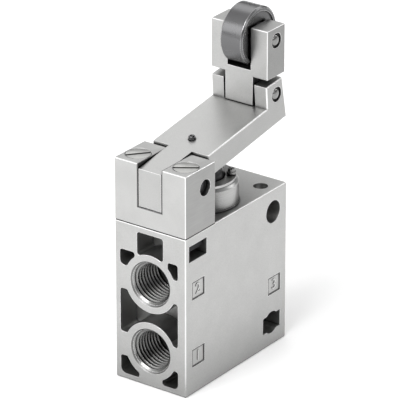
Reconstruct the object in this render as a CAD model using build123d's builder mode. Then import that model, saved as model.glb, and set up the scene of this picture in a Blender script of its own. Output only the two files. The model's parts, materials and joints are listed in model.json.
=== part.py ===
from build123d import *
from math import cos, radians, sin, tan
import os

# Switching valve: a 3/2-way valve worked by a one-way roller lever.
# Millimetres. +Z is up, X runs across the narrow body, and the threaded supply and outlet ports
# face -Y. The origin is the middle of the body's flat bottom.

# Valve body
body_width = 25.0
body_depth = 50.0
body_height = 50.0
body_edge_radius = 0.5

# Threaded ports, G 1/4: the plain wall stands at the thread's major diameter
port_radius = 6.58
port_mouth_chamfer = 0.5
port_depth = 12.0
port_boss_wall = 1.92
supply_height = 11.4
exhaust_rise = 8.0
outlet_drop = 17.3
flow_passage_radius = 3.0
exhaust_passage_radius = 2.6

# Cast pockets round the ports
pocket_depth = 7.75
pocket_corner = 0.8
pocket_corner_share = 0.55
pocket_wide_corner = 1.8
pocket_wide_corner_share = 0.8
pocket_wall_right = 2.75
pocket_wall_left = 1.8
top_pocket_half_width = 4.6
top_pocket_roof = 1.9
small_pocket_rise = 3.7
small_pocket_height = 4.9
small_pocket_inset_left = 5.45
small_pocket_inset_right = 6.15
middle_pocket_step = 3.75
bottom_pocket_floor = 1.8
bottom_pocket_drop = 3.8
bottom_pocket_inset = 4.1
back_pocket_rise = 11.1
back_pocket_height = 7.0
back_pocket_rib = 2.4

# Holes and recesses in the body's sides and top
nut_window_length = 8.5
nut_window_height = 5.0
nut_window_roof = 2.8
mounting_hole_radius = 3.5
upper_hole_inset = 6.9
upper_hole_drop = 7.0
lower_hole_inset = 7.3
lower_hole_rise = 7.45
lower_recess_length = 8.6
lower_recess_height = 5.2
lower_recess_depth = 5.4
top_hole_radius = 2.2
top_hole_inset = 4.5
mark_length = 6.1
mark_height = 5.6
mark_depth = 0.2
mark_inset = 6.1

# Valve bore and the stack of sleeves and seals in it
bore_radius = 8.0
bore_floor = 3.5
collar_thread_step = 1.0
collar_thread_depth = 6.5
stack_clearance = 0.05
seat_gap = 0.02
sleeve_chamber_radius = 6.2
seal_section = 1.9
seal_room = 0.3
seal_lip = 1.2
seal_lip_radius = 5.0
cage_seal_section = 1.0
cage_seal_room = 0.4
window_count = 6
supply_window_radius = 2.0
exhaust_window_radius = 1.4
outlet_window_radius = 2.2
upper_seal_offset = 2.7
guide_thickness = 2.0

# Spool, plunger and their springs
stroke = 3.0
running_clearance = 0.05
spool_radius = 4.0
spool_bore_radius = 2.3
spool_rise = 5.9
spool_roof = 1.9
spool_bevel = 0.4
plug_length = 6.1
plug_spigot = 1.2
plug_bevel = 0.4
close_fit = 0.02
low_port_radius = 0.6
high_port_radius = 1.3
return_spring_radius = 2.9
return_spring_wire = 0.25
return_spring_turns = 4
plunger_radius = 6.2
plunger_rise = 11.1
plunger_round = 2.9
plunger_flange_step = 0.7
plunger_flange_thickness = 1.7
plunger_flange_drop = 1.8
plunger_cup_play = 0.25
plunger_cup_depth = 7.5
plunger_stop_gap = 0.1
plunger_spring_radius = 4.9
plunger_spring_wire = 0.35
plunger_spring_turns = 6

# Collar on the body's top, its wiper and the ring that holds the wiper
collar_gap = 0.5
collar_radius = 10.44
collar_foot_radius = 10.6
collar_foot_height = 0.6
collar_height = 7.15
collar_bevel = 0.75
collar_chamber_play = 0.1
wiper_width = 0.85
wiper_thickness = 1.7
wiper_clearance = 0.06
wiper_plate_thickness = 0.8
wiper_plate_gap = 0.37
wiper_plate_radius = 9.65
plate_screw_circle = 8.2
plate_screw_radius = 0.8
plate_screw_head_radius = 1.38
plate_screw_head = 1.9
plate_screw_bevel = 0.4
plate_screw_length = 3.6
plate_screw_count = 3
plate_screw_angle = 37.0
plate_screw_slot = 0.45
plate_screw_slot_depth = 0.8

# Lever bracket with its screws, nuts and pin
bracket_height = 19.2
bracket_depth = 14.4
bracket_edge = 0.4
bracket_slot_width = 8.5
bracket_slot_floor = 6.0
bracket_screw_inset = 5.9
bracket_screw_radius = 2.0
bracket_screw_clearance = 0.05
bracket_screw_head_radius = 3.85
bracket_screw_length = 25.0
screw_slot_width = 0.9
screw_slot_depth = 0.9
left_slot_turn = 50.0
right_slot_turn = 34.0
nut_width = 5.8
nut_clearance = 0.12
nut_thickness = 2.4
lever_pin_radius = 1.2
pin_recess_radius = 2.5
pin_recess_depth = 1.6
pivot_inset = 9.4
pivot_height = 12.8

# Lever: a tongue in the bracket's slot, then an open channel, then two ears
lever_width = 19.5
lever_edge = 0.3
tongue_clearance = 0.25
tongue_front_gap = 0.1
tongue_stop_gap = 0.15
tongue_stop_length = 9.0
tongue_heel_y = 4.4
tongue_heel_rise = 1.25
tongue_back_y = 5.3
tongue_back_rise = 5.2
tongue_root_rise = 7.5
lever_front_y = 5.3
lever_angle = 8.5
lever_reach = 34.3
lever_rise = 11.45
lever_plate = 2.4
lever_wall = 1.8
lever_side_height = 6.8
lever_side_angle = 9.0
lever_tail = 9.75
ear_front_height = 6.75
ear_front_lean = 0.5
ear_back_y = 7.3
ear_back_height = 7.6
ear_gap = 0.65
channel_end = 6.0
carrier_pin_radius = 1.5
carrier_pin_recess_radius = 2.3
carrier_pin_recess_depth = 0.8

# Pad under the lever that pushes the plunger, and its screw
pad_width = 6.8
pad_nose_radius = 4.0
pad_front_gap = 0.3
pad_gap = 0.15
pad_screw_y = 10.9
pad_screw_radius = 1.1
pad_screw_stub = 1.1
pad_screw_grip = 3.7
pad_screw_head = 1.2
pad_screw_head_radius = 2.0
pad_screw_bevel = 0.25

# Roller carrier, its pin and its spring
carrier_width = 19.8
carrier_edge = 0.35
carrier_front_gap = 0.4
carrier_depth = 8.8
carrier_pivot_inset = 4.6
carrier_pivot_rise = 3.2
carrier_tongue_width = 9.6
carrier_round = 3.05
carrier_foot_gap = 0.2
carrier_shoulder = 5.75
carrier_height = 15.1
roller_side_gap = 0.2
roller_foot_gap = 0.3
carrier_spring_radius = 2.15
carrier_spring_wire = 0.25
carrier_spring_turns = 4
carrier_spring_length = 2.6
carrier_spring_leg = 4.0
carrier_spring_tilt = 12.0
spring_pocket_play = 0.2
spring_pocket_side = 0.35

# Roller, its bush and its pin
roller_radius = 8.8
roller_width = 7.8
roller_chamfer = 0.5
roller_rim = 1.3
roller_hub_radius = 4.0
roller_recess = 0.4
bush_radius = 3.0
roller_pin_inset = 4.5
roller_pin_rise = 11.1

# Places worked out from the sizes above
side = body_width / 2
front = -body_depth / 2
back = body_depth / 2
top = body_height
bore_y = front + bracket_depth + collar_gap + collar_foot_radius
port_mouth_radius = port_radius + port_mouth_chamfer
port_boss_radius = port_mouth_radius + port_boss_wall
exhaust_height = supply_height + exhaust_rise
outlet_height = top - outlet_drop
upper_hole_y = back - upper_hole_inset
upper_hole_z = top - upper_hole_drop
lower_hole_y = back - lower_hole_inset
collar_thread_radius = bore_radius + collar_thread_step
slot_half = bracket_slot_width / 2
screw_x = (slot_half + side) / 2
screw_y = front + bracket_screw_inset
screw_hole_radius = bracket_screw_radius + bracket_screw_clearance
nut_window_top = top - nut_window_roof
nut_window_low = nut_window_top - nut_window_height
nut_window_depth = side - screw_x + nut_width / 2 + nut_clearance
pivot_y = front + pivot_inset
pivot_z = top + pivot_height
lower_seal_z = (supply_height + flow_passage_radius + exhaust_height - exhaust_passage_radius) / 2
middle_seal_z = (exhaust_height + exhaust_passage_radius + outlet_height - flow_passage_radius) / 2
upper_seal_z = outlet_height + flow_passage_radius + upper_seal_offset
gland = seal_section + seal_room
supply_foot = bore_floor
exhaust_foot = lower_seal_z + gland / 2 + seat_gap
outlet_foot = middle_seal_z + gland / 2 + seat_gap
guide_foot = upper_seal_z + gland / 2 + seat_gap
guide_top = guide_foot + guide_thickness
collar_nose = guide_top + seat_gap
collar_top = top + collar_height
wiper_radius = plunger_radius + wiper_width + stack_clearance
plunger_flange_radius = plunger_radius + plunger_flange_step
cup_half = plunger_spring_wire + plunger_cup_play
sleeve_radius = bore_radius - stack_clearance
plunger_top = top + plunger_rise
plunger_foot = top - plunger_flange_thickness - plunger_flange_drop
plunger_shoulder = plunger_foot + plunger_flange_thickness + plunger_stop_gap
spool_foot = bore_floor + spool_rise
spool_top = plunger_foot - stack_clearance
lever_slope = tan(radians(lever_angle))
bend_y = pivot_y + lever_reach
bend_z = pivot_z + lever_rise
lever_front = pivot_y + lever_front_y
lever_half = lever_width / 2
plate_drop = lever_plate / cos(radians(lever_angle))
carrier_y = bend_y + carrier_pivot_inset
carrier_z = bend_z + carrier_pivot_rise
carrier_front = bend_y - carrier_front_gap
carrier_back = carrier_front + carrier_depth
carrier_tongue_back = carrier_y + carrier_round
carrier_tongue_half = carrier_tongue_width / 2
ear_floor = carrier_z - carrier_round - carrier_foot_gap
shoulder_z = carrier_z + carrier_shoulder
roller_y = carrier_front + roller_pin_inset
roller_z = shoulder_z + roller_pin_rise
nose_z = plunger_top + pad_gap


def plate_top(y):
    """Height of the lever's top face at y, behind the bracket."""
    return bend_z - (bend_y - y) * lever_slope


def plate_under(y):
    """Height of the underside of the lever's plate at y."""
    return plate_top(y) - plate_drop


def seal_ring(centre_z, inner_radius, section):
    """A round rubber ring about the valve's bore."""
    with BuildPart() as ring:
        with BuildSketch(Plane.XZ.offset(-bore_y)):
            with Locations((inner_radius + section / 2, centre_z)):
                Circle(section / 2)
        revolve(axis=Axis((0, bore_y, 0), (0, 0, 1)))
    return ring.part


def bore_disc(z):
    """A sketch plane across the valve's bore at height z."""
    return Plane((0, bore_y, z), x_dir=(1, 0, 0), z_dir=(0, 0, 1))


def radial_planes(z, count):
    """Planes through the bore's axis at height z that face outwards, evenly spaced."""
    turns = [360 * step / count for step in range(count)]
    return [Plane((0, bore_y, z), z_dir=(cos(radians(a)), sin(radians(a)), 0)) for a in turns]


def stands_at(corner, places):
    """Whether a sketch's corner is at one of some places."""
    return any((corner.center() - Vector(*place)).length < close_fit for place in places)


def windowed_cage(foot, seal_z, window_z, window_radius, foot_lip):
    """A sleeve with a ring of windows, a chamber inside and a seal's gland at each outer end."""
    gland_floor = seal_z - gland / 2
    cage_top = seal_z + gland / 2
    chamber_foot = foot + foot_lip
    with BuildPart() as cage:
        with BuildSketch(bore_disc(foot)):
            Circle(sleeve_radius)
        extrude(amount=cage_top - foot)
        with BuildSketch(bore_disc(foot)):
            Circle(seal_lip_radius)
        extrude(amount=cage_top - foot, mode=Mode.SUBTRACT)
        with BuildSketch(bore_disc(chamber_foot)):
            Circle(sleeve_chamber_radius)
        extrude(amount=gland_floor - seal_lip - chamber_foot, mode=Mode.SUBTRACT)
        with BuildSketch(bore_disc(gland_floor)):
            Circle(spool_radius + running_clearance + seal_section + stack_clearance)
        extrude(amount=gland, mode=Mode.SUBTRACT)
        with BuildSketch(bore_disc(seal_z)):
            Circle(bore_radius)
            Circle(sleeve_radius - cage_seal_section, mode=Mode.SUBTRACT)
        extrude(amount=(cage_seal_section + cage_seal_room) / 2, both=True, mode=Mode.SUBTRACT)
        for plane in radial_planes(window_z, window_count):
            with BuildSketch(plane):
                Circle(window_radius)
            extrude(amount=bore_radius, mode=Mode.SUBTRACT)
    return cage.part


# Valve body: a cast block, bored from above, with ports, pockets and mounting holes
front_face = Plane((0, front, 0), x_dir=(1, 0, 0), z_dir=(0, -1, 0))
back_face = Plane((0, back, 0), x_dir=(-1, 0, 0), z_dir=(0, 1, 0))
right_face = Plane((side, 0, 0), x_dir=(0, 1, 0), z_dir=(1, 0, 0))
left_face = Plane((-side, 0, 0), x_dir=(0, -1, 0), z_dir=(-1, 0, 0))
pocket_right = side - pocket_wall_right
pocket_left = side - pocket_wall_left
small_low = outlet_height + small_pocket_rise
small_top = small_low + small_pocket_height
middle_low = supply_height + middle_pocket_step
middle_top = outlet_height - middle_pocket_step
bottom_top = supply_height - bottom_pocket_drop
back_pocket_low = exhaust_height + back_pocket_rise
back_pocket_high = back_pocket_low + back_pocket_height

with BuildPart() as valve_body:
    with BuildSketch(Plane.XY):
        Rectangle(body_width, body_depth)
    extrude(amount=body_height)
    fillet(valve_body.edges(), body_edge_radius)

    # Pockets in the front face, each stopping at the round bosses of the ports
    front_pockets = [
        (-top_pocket_half_width, top_pocket_half_width, outlet_height, top - top_pocket_roof),
        (-pocket_left, -small_pocket_inset_left, small_low, small_top),
        (small_pocket_inset_right, pocket_right, small_low, small_top),
        (-pocket_left, pocket_right, middle_low, middle_top),
        (-pocket_left, -bottom_pocket_inset, bottom_pocket_floor, bottom_top),
        (bottom_pocket_inset, pocket_right, bottom_pocket_floor, bottom_top),
    ]
    # Some are widely rounded at the foot of their outer side
    wide_corners = [(-pocket_left, small_low), (-pocket_left, bottom_pocket_floor),
                    (pocket_right, bottom_pocket_floor)]
    for x_low, x_high, z_low, z_high in front_pockets:
        with BuildSketch(front_face) as pocket:
            with Locations(((x_low + x_high) / 2, (z_low + z_high) / 2)):
                Rectangle(x_high - x_low, z_high - z_low)
            with Locations((0, supply_height), (0, outlet_height)):
                Circle(port_boss_radius, mode=Mode.SUBTRACT)
            # The corners' radius is limited by the shortest edge that the bosses leave
            shortest_edge = min(edge.length for edge in pocket.edges())
            fillet([corner for corner in pocket.vertices() if not stands_at(corner, wide_corners)],
                   min(pocket_corner, pocket_corner_share * shortest_edge))
            for corner in [each for each in pocket.vertices() if stands_at(each, wide_corners)]:
                room = min(edge.length for edge in pocket.edges()
                           if edge.distance_to(corner) < close_fit)
                fillet(corner, min(pocket_wide_corner, pocket_wide_corner_share * room))
        extrude(amount=-pocket_depth, mode=Mode.SUBTRACT)

    # Two pockets above the exhaust port in the back face, with a rib between them
    back_pocket_width = pocket_right - back_pocket_rib / 2
    with BuildSketch(back_face) as back_pockets:
        for hand in (-1, 1):
            with Locations((hand * (pocket_right + back_pocket_rib / 2) / 2,
                            (back_pocket_low + back_pocket_high) / 2)):
                Rectangle(back_pocket_width, back_pocket_high - back_pocket_low)
        fillet(back_pockets.vertices(), pocket_corner)
    extrude(amount=-pocket_depth, mode=Mode.SUBTRACT)

    # Bore for the valve's sleeves, wider at the top for the collar's thread
    with BuildSketch(bore_disc(bore_floor)):
        Circle(bore_radius)
    extrude(amount=top - bore_floor, mode=Mode.SUBTRACT)
    with BuildSketch(bore_disc(top - collar_thread_depth)):
        Circle(collar_thread_radius)
    extrude(amount=collar_thread_depth, mode=Mode.SUBTRACT)

    # Ports: a wall for the thread, a chamfered mouth and a passage to the bore
    ports = [
        (front_face, supply_height, flow_passage_radius, bore_y - front),
        (front_face, outlet_height, flow_passage_radius, bore_y - front),
        (back_face, exhaust_height, exhaust_passage_radius, back - bore_y),
    ]
    for face, height, passage_radius, reach in ports:
        with BuildSketch(face):
            with Locations((0, height)):
                Circle(port_radius)
        extrude(amount=-port_depth, mode=Mode.SUBTRACT)
        with BuildSketch(face):
            with Locations((0, height)):
                Circle(port_mouth_radius)
        extrude(amount=-port_mouth_chamfer, taper=45, mode=Mode.SUBTRACT)
        with BuildSketch(face):
            with Locations((0, height)):
                Circle(passage_radius)
        extrude(amount=-reach, mode=Mode.SUBTRACT)

    # Windows for the bracket's nuts, and the screws' holes down to them
    for face, outward in ((right_face, 1), (left_face, -1)):
        with BuildSketch(face):
            with Locations((outward * screw_y, nut_window_low + nut_window_height / 2)):
                Rectangle(nut_window_length, nut_window_height)
        extrude(amount=-nut_window_depth, mode=Mode.SUBTRACT)
    with Locations((-screw_x, screw_y, top), (screw_x, screw_y, top)):
        Hole(screw_hole_radius, depth=nut_window_roof)

    # Mounting holes through the sides, the lower one with a long recess at each end
    with Locations(Plane((side, upper_hole_y, upper_hole_z), z_dir=(1, 0, 0))):
        Hole(mounting_hole_radius, depth=body_width)
    with Locations(Plane((side, lower_hole_y, lower_hole_rise), z_dir=(1, 0, 0))):
        Hole(mounting_hole_radius, depth=body_width)
    for face, outward in ((right_face, 1), (left_face, -1)):
        with BuildSketch(face):
            with Locations((outward * lower_hole_y, lower_hole_rise)):
                Rectangle(lower_recess_length, lower_recess_height)
        extrude(amount=-lower_recess_depth, mode=Mode.SUBTRACT)
    top_hole_x = side - top_hole_inset
    with Locations((-top_hole_x, upper_hole_y, top), (top_hole_x, upper_hole_y, top)):
        Hole(top_hole_radius, depth=upper_hole_drop)

    # Shallow squares beside the ports for their numbers
    with BuildSketch(right_face):
        with Locations((front + mark_inset, outlet_height), (front + mark_inset, supply_height),
                       (back - mark_inset, exhaust_height)):
            Rectangle(mark_length, mark_height)
    extrude(amount=-mark_depth, mode=Mode.SUBTRACT)
valve_body.part.label = "valve_body"

# Sleeves in the bore, from the bottom up, each carrying the seal above it
supply_cage = windowed_cage(supply_foot, lower_seal_z, supply_height, supply_window_radius, 0)
supply_cage.label = "supply_cage"
exhaust_cage = windowed_cage(exhaust_foot, middle_seal_z, exhaust_height, exhaust_window_radius,
                             seal_lip)
exhaust_cage.label = "exhaust_cage"
outlet_cage = windowed_cage(outlet_foot, upper_seal_z, outlet_height, outlet_window_radius,
                            seal_lip)
outlet_cage.label = "outlet_cage"

# Guide ring for the spool on top of the stack
guide_seal_z = guide_foot + guide_thickness / 2
with BuildPart() as spool_guide:
    with BuildSketch(bore_disc(guide_foot)):
        Circle(sleeve_radius)
        Circle(spool_radius + running_clearance, mode=Mode.SUBTRACT)
    extrude(amount=guide_thickness)
    with BuildSketch(bore_disc(guide_seal_z)):
        Circle(bore_radius)
        Circle(sleeve_radius - cage_seal_section, mode=Mode.SUBTRACT)
    extrude(amount=(cage_seal_section + cage_seal_room) / 2, both=True, mode=Mode.SUBTRACT)
spool_guide.part.label = "spool_guide"

# Rubber rings: three on the spool, four outside the sleeves and the guide
spool_seals = Compound(label="spool_seals", children=[
    seal_ring(z, spool_radius + running_clearance, seal_section)
    for z in (lower_seal_z, middle_seal_z, upper_seal_z)
])
cage_seals = Compound(label="cage_seals", children=[
    seal_ring(z, sleeve_radius - cage_seal_section, cage_seal_section)
    for z in (lower_seal_z, middle_seal_z, upper_seal_z, guide_seal_z)
])

# Spool: hollow up to its roof, with small holes low down and large ones at the outlet
spool_roof_z = outlet_height + spool_roof
low_port_z = lower_seal_z + stroke / 2
with BuildPart() as spool:
    with BuildSketch(bore_disc(spool_foot)):
        Circle(spool_radius)
    extrude(amount=spool_top - spool_foot)
    with BuildSketch(bore_disc(spool_foot)):
        Circle(spool_bore_radius)
    extrude(amount=spool_roof_z - spool_foot, mode=Mode.SUBTRACT)
    for plane in radial_planes(low_port_z, window_count):
        with BuildSketch(plane):
            Circle(low_port_radius)
        extrude(amount=spool_radius, mode=Mode.SUBTRACT)
    for plane in radial_planes(outlet_height, window_count - 2):
        with BuildSketch(plane):
            Circle(high_port_radius)
        extrude(amount=spool_radius, mode=Mode.SUBTRACT)
    chamfer(spool.faces().sort_by(Axis.Z)[0].edges().sort_by(SortBy.RADIUS)[-1], spool_bevel)
spool.part.label = "spool"

with BuildPart() as spool_plug:
    with BuildSketch(bore_disc(spool_foot)):
        Circle(spool_bore_radius - close_fit)
    extrude(amount=plug_length)
    with BuildSketch(bore_disc(spool_foot)):
        Circle(spool_bore_radius)
    extrude(amount=-plug_spigot)
    chamfer(spool_plug.faces().sort_by(Axis.Z)[0].edges(), plug_bevel)
spool_plug.part.label = "spool_plug"

# Springs under the spool and under the plunger, both about the bore's axis
return_spring_height = spool_foot - bore_floor - 2 * return_spring_wire - 2 * stack_clearance
with BuildPart() as return_spring:
    with BuildLine() as return_coil:
        Helix(return_spring_height / return_spring_turns, return_spring_height, return_spring_radius,
              center=(0, bore_y, bore_floor + return_spring_wire + stack_clearance))
    with BuildSketch(Plane(return_coil.line @ 0, z_dir=return_coil.line % 0)):
        Circle(return_spring_wire)
    sweep(path=return_coil.line, is_frenet=True)
return_spring.part.label = "return_spring"

plunger_cup_roof = plunger_foot + plunger_cup_depth
plunger_spring_foot = guide_top + plunger_spring_wire + stack_clearance
plunger_spring_height = plunger_cup_roof - plunger_spring_wire - stack_clearance - plunger_spring_foot
with BuildPart() as plunger_spring:
    with BuildLine() as plunger_coil:
        Helix(plunger_spring_height / plunger_spring_turns, plunger_spring_height,
              plunger_spring_radius, center=(0, bore_y, plunger_spring_foot))
    with BuildSketch(Plane(plunger_coil.line @ 0, z_dir=plunger_coil.line % 0)):
        Circle(plunger_spring_wire)
    sweep(path=plunger_coil.line, is_frenet=True)
plunger_spring.part.label = "plunger_spring"

# Plunger: a cup with a rounded crown and a flange that stops it in the collar
with BuildPart() as plunger:
    with BuildSketch(bore_disc(plunger_foot)):
        Circle(plunger_radius)
    extrude(amount=plunger_top - plunger_foot)
    fillet(plunger.faces().sort_by(Axis.Z)[-1].edges(), plunger_round)
    with BuildSketch(bore_disc(plunger_foot)):
        Circle(plunger_flange_radius)
    extrude(amount=plunger_flange_thickness)
    with BuildSketch(bore_disc(plunger_foot)):
        Circle(plunger_spring_radius + cup_half)
        Circle(plunger_spring_radius - cup_half, mode=Mode.SUBTRACT)
    extrude(amount=plunger_cup_depth, mode=Mode.SUBTRACT)
plunger.part.label = "plunger"

# Collar: screwed into the body's top, with a wiper and its ring on top
thread_play = collar_thread_radius - stack_clearance
thread_foot = top - collar_thread_depth + seat_gap
wiper_seat = collar_top - wiper_thickness - stack_clearance
plate_screw_foot = collar_top - plate_screw_length
plate_screws = PolarLocations(plate_screw_circle, plate_screw_count, start_angle=plate_screw_angle)
with BuildPart() as collar:
    with BuildSketch(bore_disc(collar_nose)):
        Circle(sleeve_radius)
    extrude(amount=thread_foot - collar_nose)
    with BuildSketch(bore_disc(thread_foot)):
        Circle(thread_play)
    extrude(amount=top - thread_foot)
    with BuildSketch(bore_disc(top)):
        Circle(collar_radius)
    extrude(amount=collar_height)
    chamfer(collar.faces().sort_by(Axis.Z)[-1].edges(), collar_bevel)
    with BuildSketch(bore_disc(top)):
        Circle(collar_foot_radius)
    extrude(amount=collar_foot_height)
    with BuildSketch(bore_disc(collar_nose)):
        Circle(plunger_flange_radius + collar_chamber_play)
    extrude(amount=plunger_shoulder - collar_nose, mode=Mode.SUBTRACT)
    with BuildSketch(bore_disc(plunger_shoulder)):
        Circle(plunger_radius + running_clearance)
    extrude(amount=collar_top - plunger_shoulder, mode=Mode.SUBTRACT)
    with BuildSketch(bore_disc(wiper_seat)):
        Circle(wiper_radius)
    extrude(amount=collar_top - wiper_seat, mode=Mode.SUBTRACT)
    with BuildSketch(bore_disc(plate_screw_foot)):
        with plate_screws:
            Circle(plate_screw_radius + close_fit)
    extrude(amount=plate_screw_length, mode=Mode.SUBTRACT)
collar.part.label = "collar"

with BuildPart() as plunger_wiper:
    with BuildSketch(bore_disc(wiper_seat + seat_gap)):
        Circle(wiper_radius - stack_clearance)
        Circle(plunger_radius + wiper_clearance, mode=Mode.SUBTRACT)
    extrude(amount=wiper_thickness)
plunger_wiper.part.label = "plunger_wiper"

plate_foot = collar_top + seat_gap
with BuildPart() as wiper_plate:
    with BuildSketch(bore_disc(plate_foot)):
        Circle(wiper_plate_radius)
        Circle(plunger_radius + wiper_plate_gap, mode=Mode.SUBTRACT)
        with plate_screws:
            Circle(plate_screw_radius + stack_clearance, mode=Mode.SUBTRACT)
    extrude(amount=wiper_plate_thickness)
wiper_plate.part.label = "wiper_plate"

head_foot = plate_foot + wiper_plate_thickness + seat_gap
with BuildPart() as wiper_plate_screws:
    with BuildSketch(bore_disc(plate_screw_foot + seat_gap)):
        with plate_screws:
            Circle(plate_screw_radius)
    extrude(amount=head_foot - plate_screw_foot - seat_gap)
    with BuildSketch(bore_disc(head_foot)):
        with plate_screws:
            Circle(plate_screw_head_radius)
    extrude(amount=plate_screw_head)
    chamfer(wiper_plate_screws.faces().group_by(Axis.Z)[-1].edges(), plate_screw_bevel)
    with BuildSketch(bore_disc(head_foot + plate_screw_head)):
        with plate_screws:
            Rectangle(2 * plate_screw_head_radius, plate_screw_slot)
    extrude(amount=-plate_screw_slot_depth, mode=Mode.SUBTRACT)
wiper_plate_screws.part.label = "wiper_plate_screws"

# Lever bracket: a block flush with the body's front, slotted for the lever's tongue
bracket_y = front + bracket_depth / 2
bracket_top = top + bracket_height
with BuildPart() as lever_bracket:
    with BuildSketch(Plane.XY.offset(top)):
        with Locations((0, bracket_y)):
            Rectangle(body_width, bracket_depth)
    extrude(amount=bracket_height)
    fillet(lever_bracket.edges(), bracket_edge)
    with BuildSketch(Plane.XY.offset(top + bracket_slot_floor)):
        with Locations((0, bracket_y)):
            Rectangle(bracket_slot_width, bracket_depth)
    extrude(amount=bracket_height, mode=Mode.SUBTRACT)
    with Locations((-screw_x, screw_y, bracket_top), (screw_x, screw_y, bracket_top)):
        CounterSinkHole(screw_hole_radius, bracket_screw_head_radius + bracket_screw_clearance,
                        depth=bracket_height)
    for hand in (-1, 1):
        with Locations(Plane((hand * side, pivot_y, pivot_z), z_dir=(hand, 0, 0))):
            CounterBoreHole(lever_pin_radius, pin_recess_radius, pin_recess_depth, depth=side)
lever_bracket.part.label = "lever_bracket"

# Countersunk screws, slotted, with the nuts that they draw up in the body's windows
with BuildPart() as bracket_screws:
    for x, turn in ((-screw_x, left_slot_turn), (screw_x, right_slot_turn)):
        slot_direction = (cos(radians(turn)), sin(radians(turn)), 0)
        screw_head = Plane((x, screw_y, bracket_top), x_dir=slot_direction, z_dir=(0, 0, 1))
        with BuildSketch(screw_head):
            Circle(bracket_screw_radius)
        extrude(amount=-bracket_screw_length)
        with BuildSketch(screw_head):
            Circle(bracket_screw_head_radius)
        extrude(amount=bracket_screw_radius - bracket_screw_head_radius, taper=45)
        with BuildSketch(screw_head):
            Rectangle(3 * bracket_screw_head_radius, screw_slot_width)
        extrude(amount=-screw_slot_depth, mode=Mode.SUBTRACT)
bracket_screws.part.label = "bracket_screws"

with BuildPart() as bracket_nuts:
    with BuildSketch(Plane.XY.offset(nut_window_top - seat_gap)):
        with Locations((-screw_x, screw_y), (screw_x, screw_y)):
            Rectangle(nut_width, nut_window_length - 2 * nut_clearance)
            Circle(screw_hole_radius, mode=Mode.SUBTRACT)
    extrude(amount=-nut_thickness)
bracket_nuts.part.label = "bracket_nuts"

pin_half = side - pin_recess_depth - seat_gap
with BuildPart() as lever_pin:
    with BuildSketch(Plane((0, pivot_y, pivot_z), z_dir=(1, 0, 0))):
        Circle(lever_pin_radius)
    extrude(amount=pin_half, both=True)
lever_pin.part.label = "lever_pin"

# Lever: side profiles are drawn in Y and Z and run across X
tongue_half = slot_half - tongue_clearance
tongue_front = front + tongue_front_gap
tongue_foot = top + bracket_slot_floor + tongue_stop_gap
root_y = lever_front + lever_wall
tail_y = bend_y + lever_tail
tail_z = plate_top(tail_y) - lever_side_height
channel_floor = ear_floor - lever_plate
channel_back = bend_y + channel_end
ear_inner = carrier_tongue_half + ear_gap
ear_front_top = (bend_y - ear_front_lean, bend_z + ear_front_height)
ear_back_top = (bend_y + ear_back_y, bend_z + ear_back_height)
ear_gap_front = bend_y - 2 * ear_front_lean
ear_gap_top = bend_z + 2 * ear_back_height
bend_under = bend_y - lever_plate


def lever_low(y):
    """Height of the lower edge of the lever's sides at y."""
    return tail_z - (tail_y - y) * tan(radians(lever_side_angle))


with BuildPart() as lever:
    with BuildSketch(Plane.YZ):
        with BuildLine():
            Polyline((lever_front, lever_low(lever_front)), (tail_y, tail_z), ear_back_top,
                     ear_front_top, (bend_y, bend_z), (lever_front, plate_top(lever_front)),
                     close=True)
        make_face()
    extrude(amount=lever_half, both=True)
    outer_sides = lever.faces().group_by(Axis.X)
    chamfer(outer_sides[0].edges() + outer_sides[-1].edges(), lever_edge)
    # The hollow under the plate, closed at its front and back by short webs
    with BuildSketch(Plane.YZ):
        with BuildLine():
            Polyline((root_y, lever_low(root_y) - lever_wall), (root_y, plate_under(root_y)),
                     (bend_under, plate_under(bend_under)), (channel_back, channel_floor),
                     (channel_back + lever_wall, lever_low(channel_back) - lever_wall), close=True)
        make_face()
    extrude(amount=lever_half - lever_wall, both=True, mode=Mode.SUBTRACT)
    # The gap between the ears, down to a flat floor under the carrier
    with BuildSketch(Plane.YZ):
        with BuildLine():
            Polyline((bend_y, ear_floor), (tail_y, ear_floor), (tail_y, ear_gap_top),
                     (ear_gap_front, ear_gap_top), (ear_gap_front, bend_z), (bend_y, bend_z),
                     close=True)
        make_face()
    extrude(amount=ear_inner, both=True, mode=Mode.SUBTRACT)
    # The tongue, flat under its front as a stop and cut away behind the pin
    with BuildSketch(Plane.YZ):
        with BuildLine():
            Polyline((tongue_front, tongue_foot), (tongue_front + tongue_stop_length, tongue_foot),
                     (pivot_y + tongue_heel_y, tongue_foot + tongue_heel_rise),
                     (pivot_y + tongue_back_y, tongue_foot + tongue_back_rise),
                     (root_y, tongue_foot + tongue_root_rise), (root_y, plate_top(root_y)),
                     (tongue_front, plate_top(tongue_front)), close=True)
        make_face()
    extrude(amount=tongue_half, both=True)
    with Locations(Plane((tongue_half, pivot_y, pivot_z), z_dir=(1, 0, 0))):
        Hole(lever_pin_radius + running_clearance, depth=2 * tongue_half)
    for hand in (-1, 1):
        with Locations(Plane((hand * lever_half, carrier_y, carrier_z), z_dir=(hand, 0, 0))):
            CounterBoreHole(carrier_pin_radius, carrier_pin_recess_radius, carrier_pin_recess_depth,
                            depth=lever_half)
    # Hole for the pad's screw, square to the plate
    screw_top_y = pivot_y + pad_screw_y
    plate_normal = (0, -sin(radians(lever_angle)), cos(radians(lever_angle)))
    pad_screw_plane = Plane((0, screw_top_y, plate_top(screw_top_y)), x_dir=(1, 0, 0),
                            z_dir=plate_normal)
    with Locations(pad_screw_plane):
        Hole(pad_screw_radius + close_fit, depth=2 * lever_plate)
lever.part.label = "lever"

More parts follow.
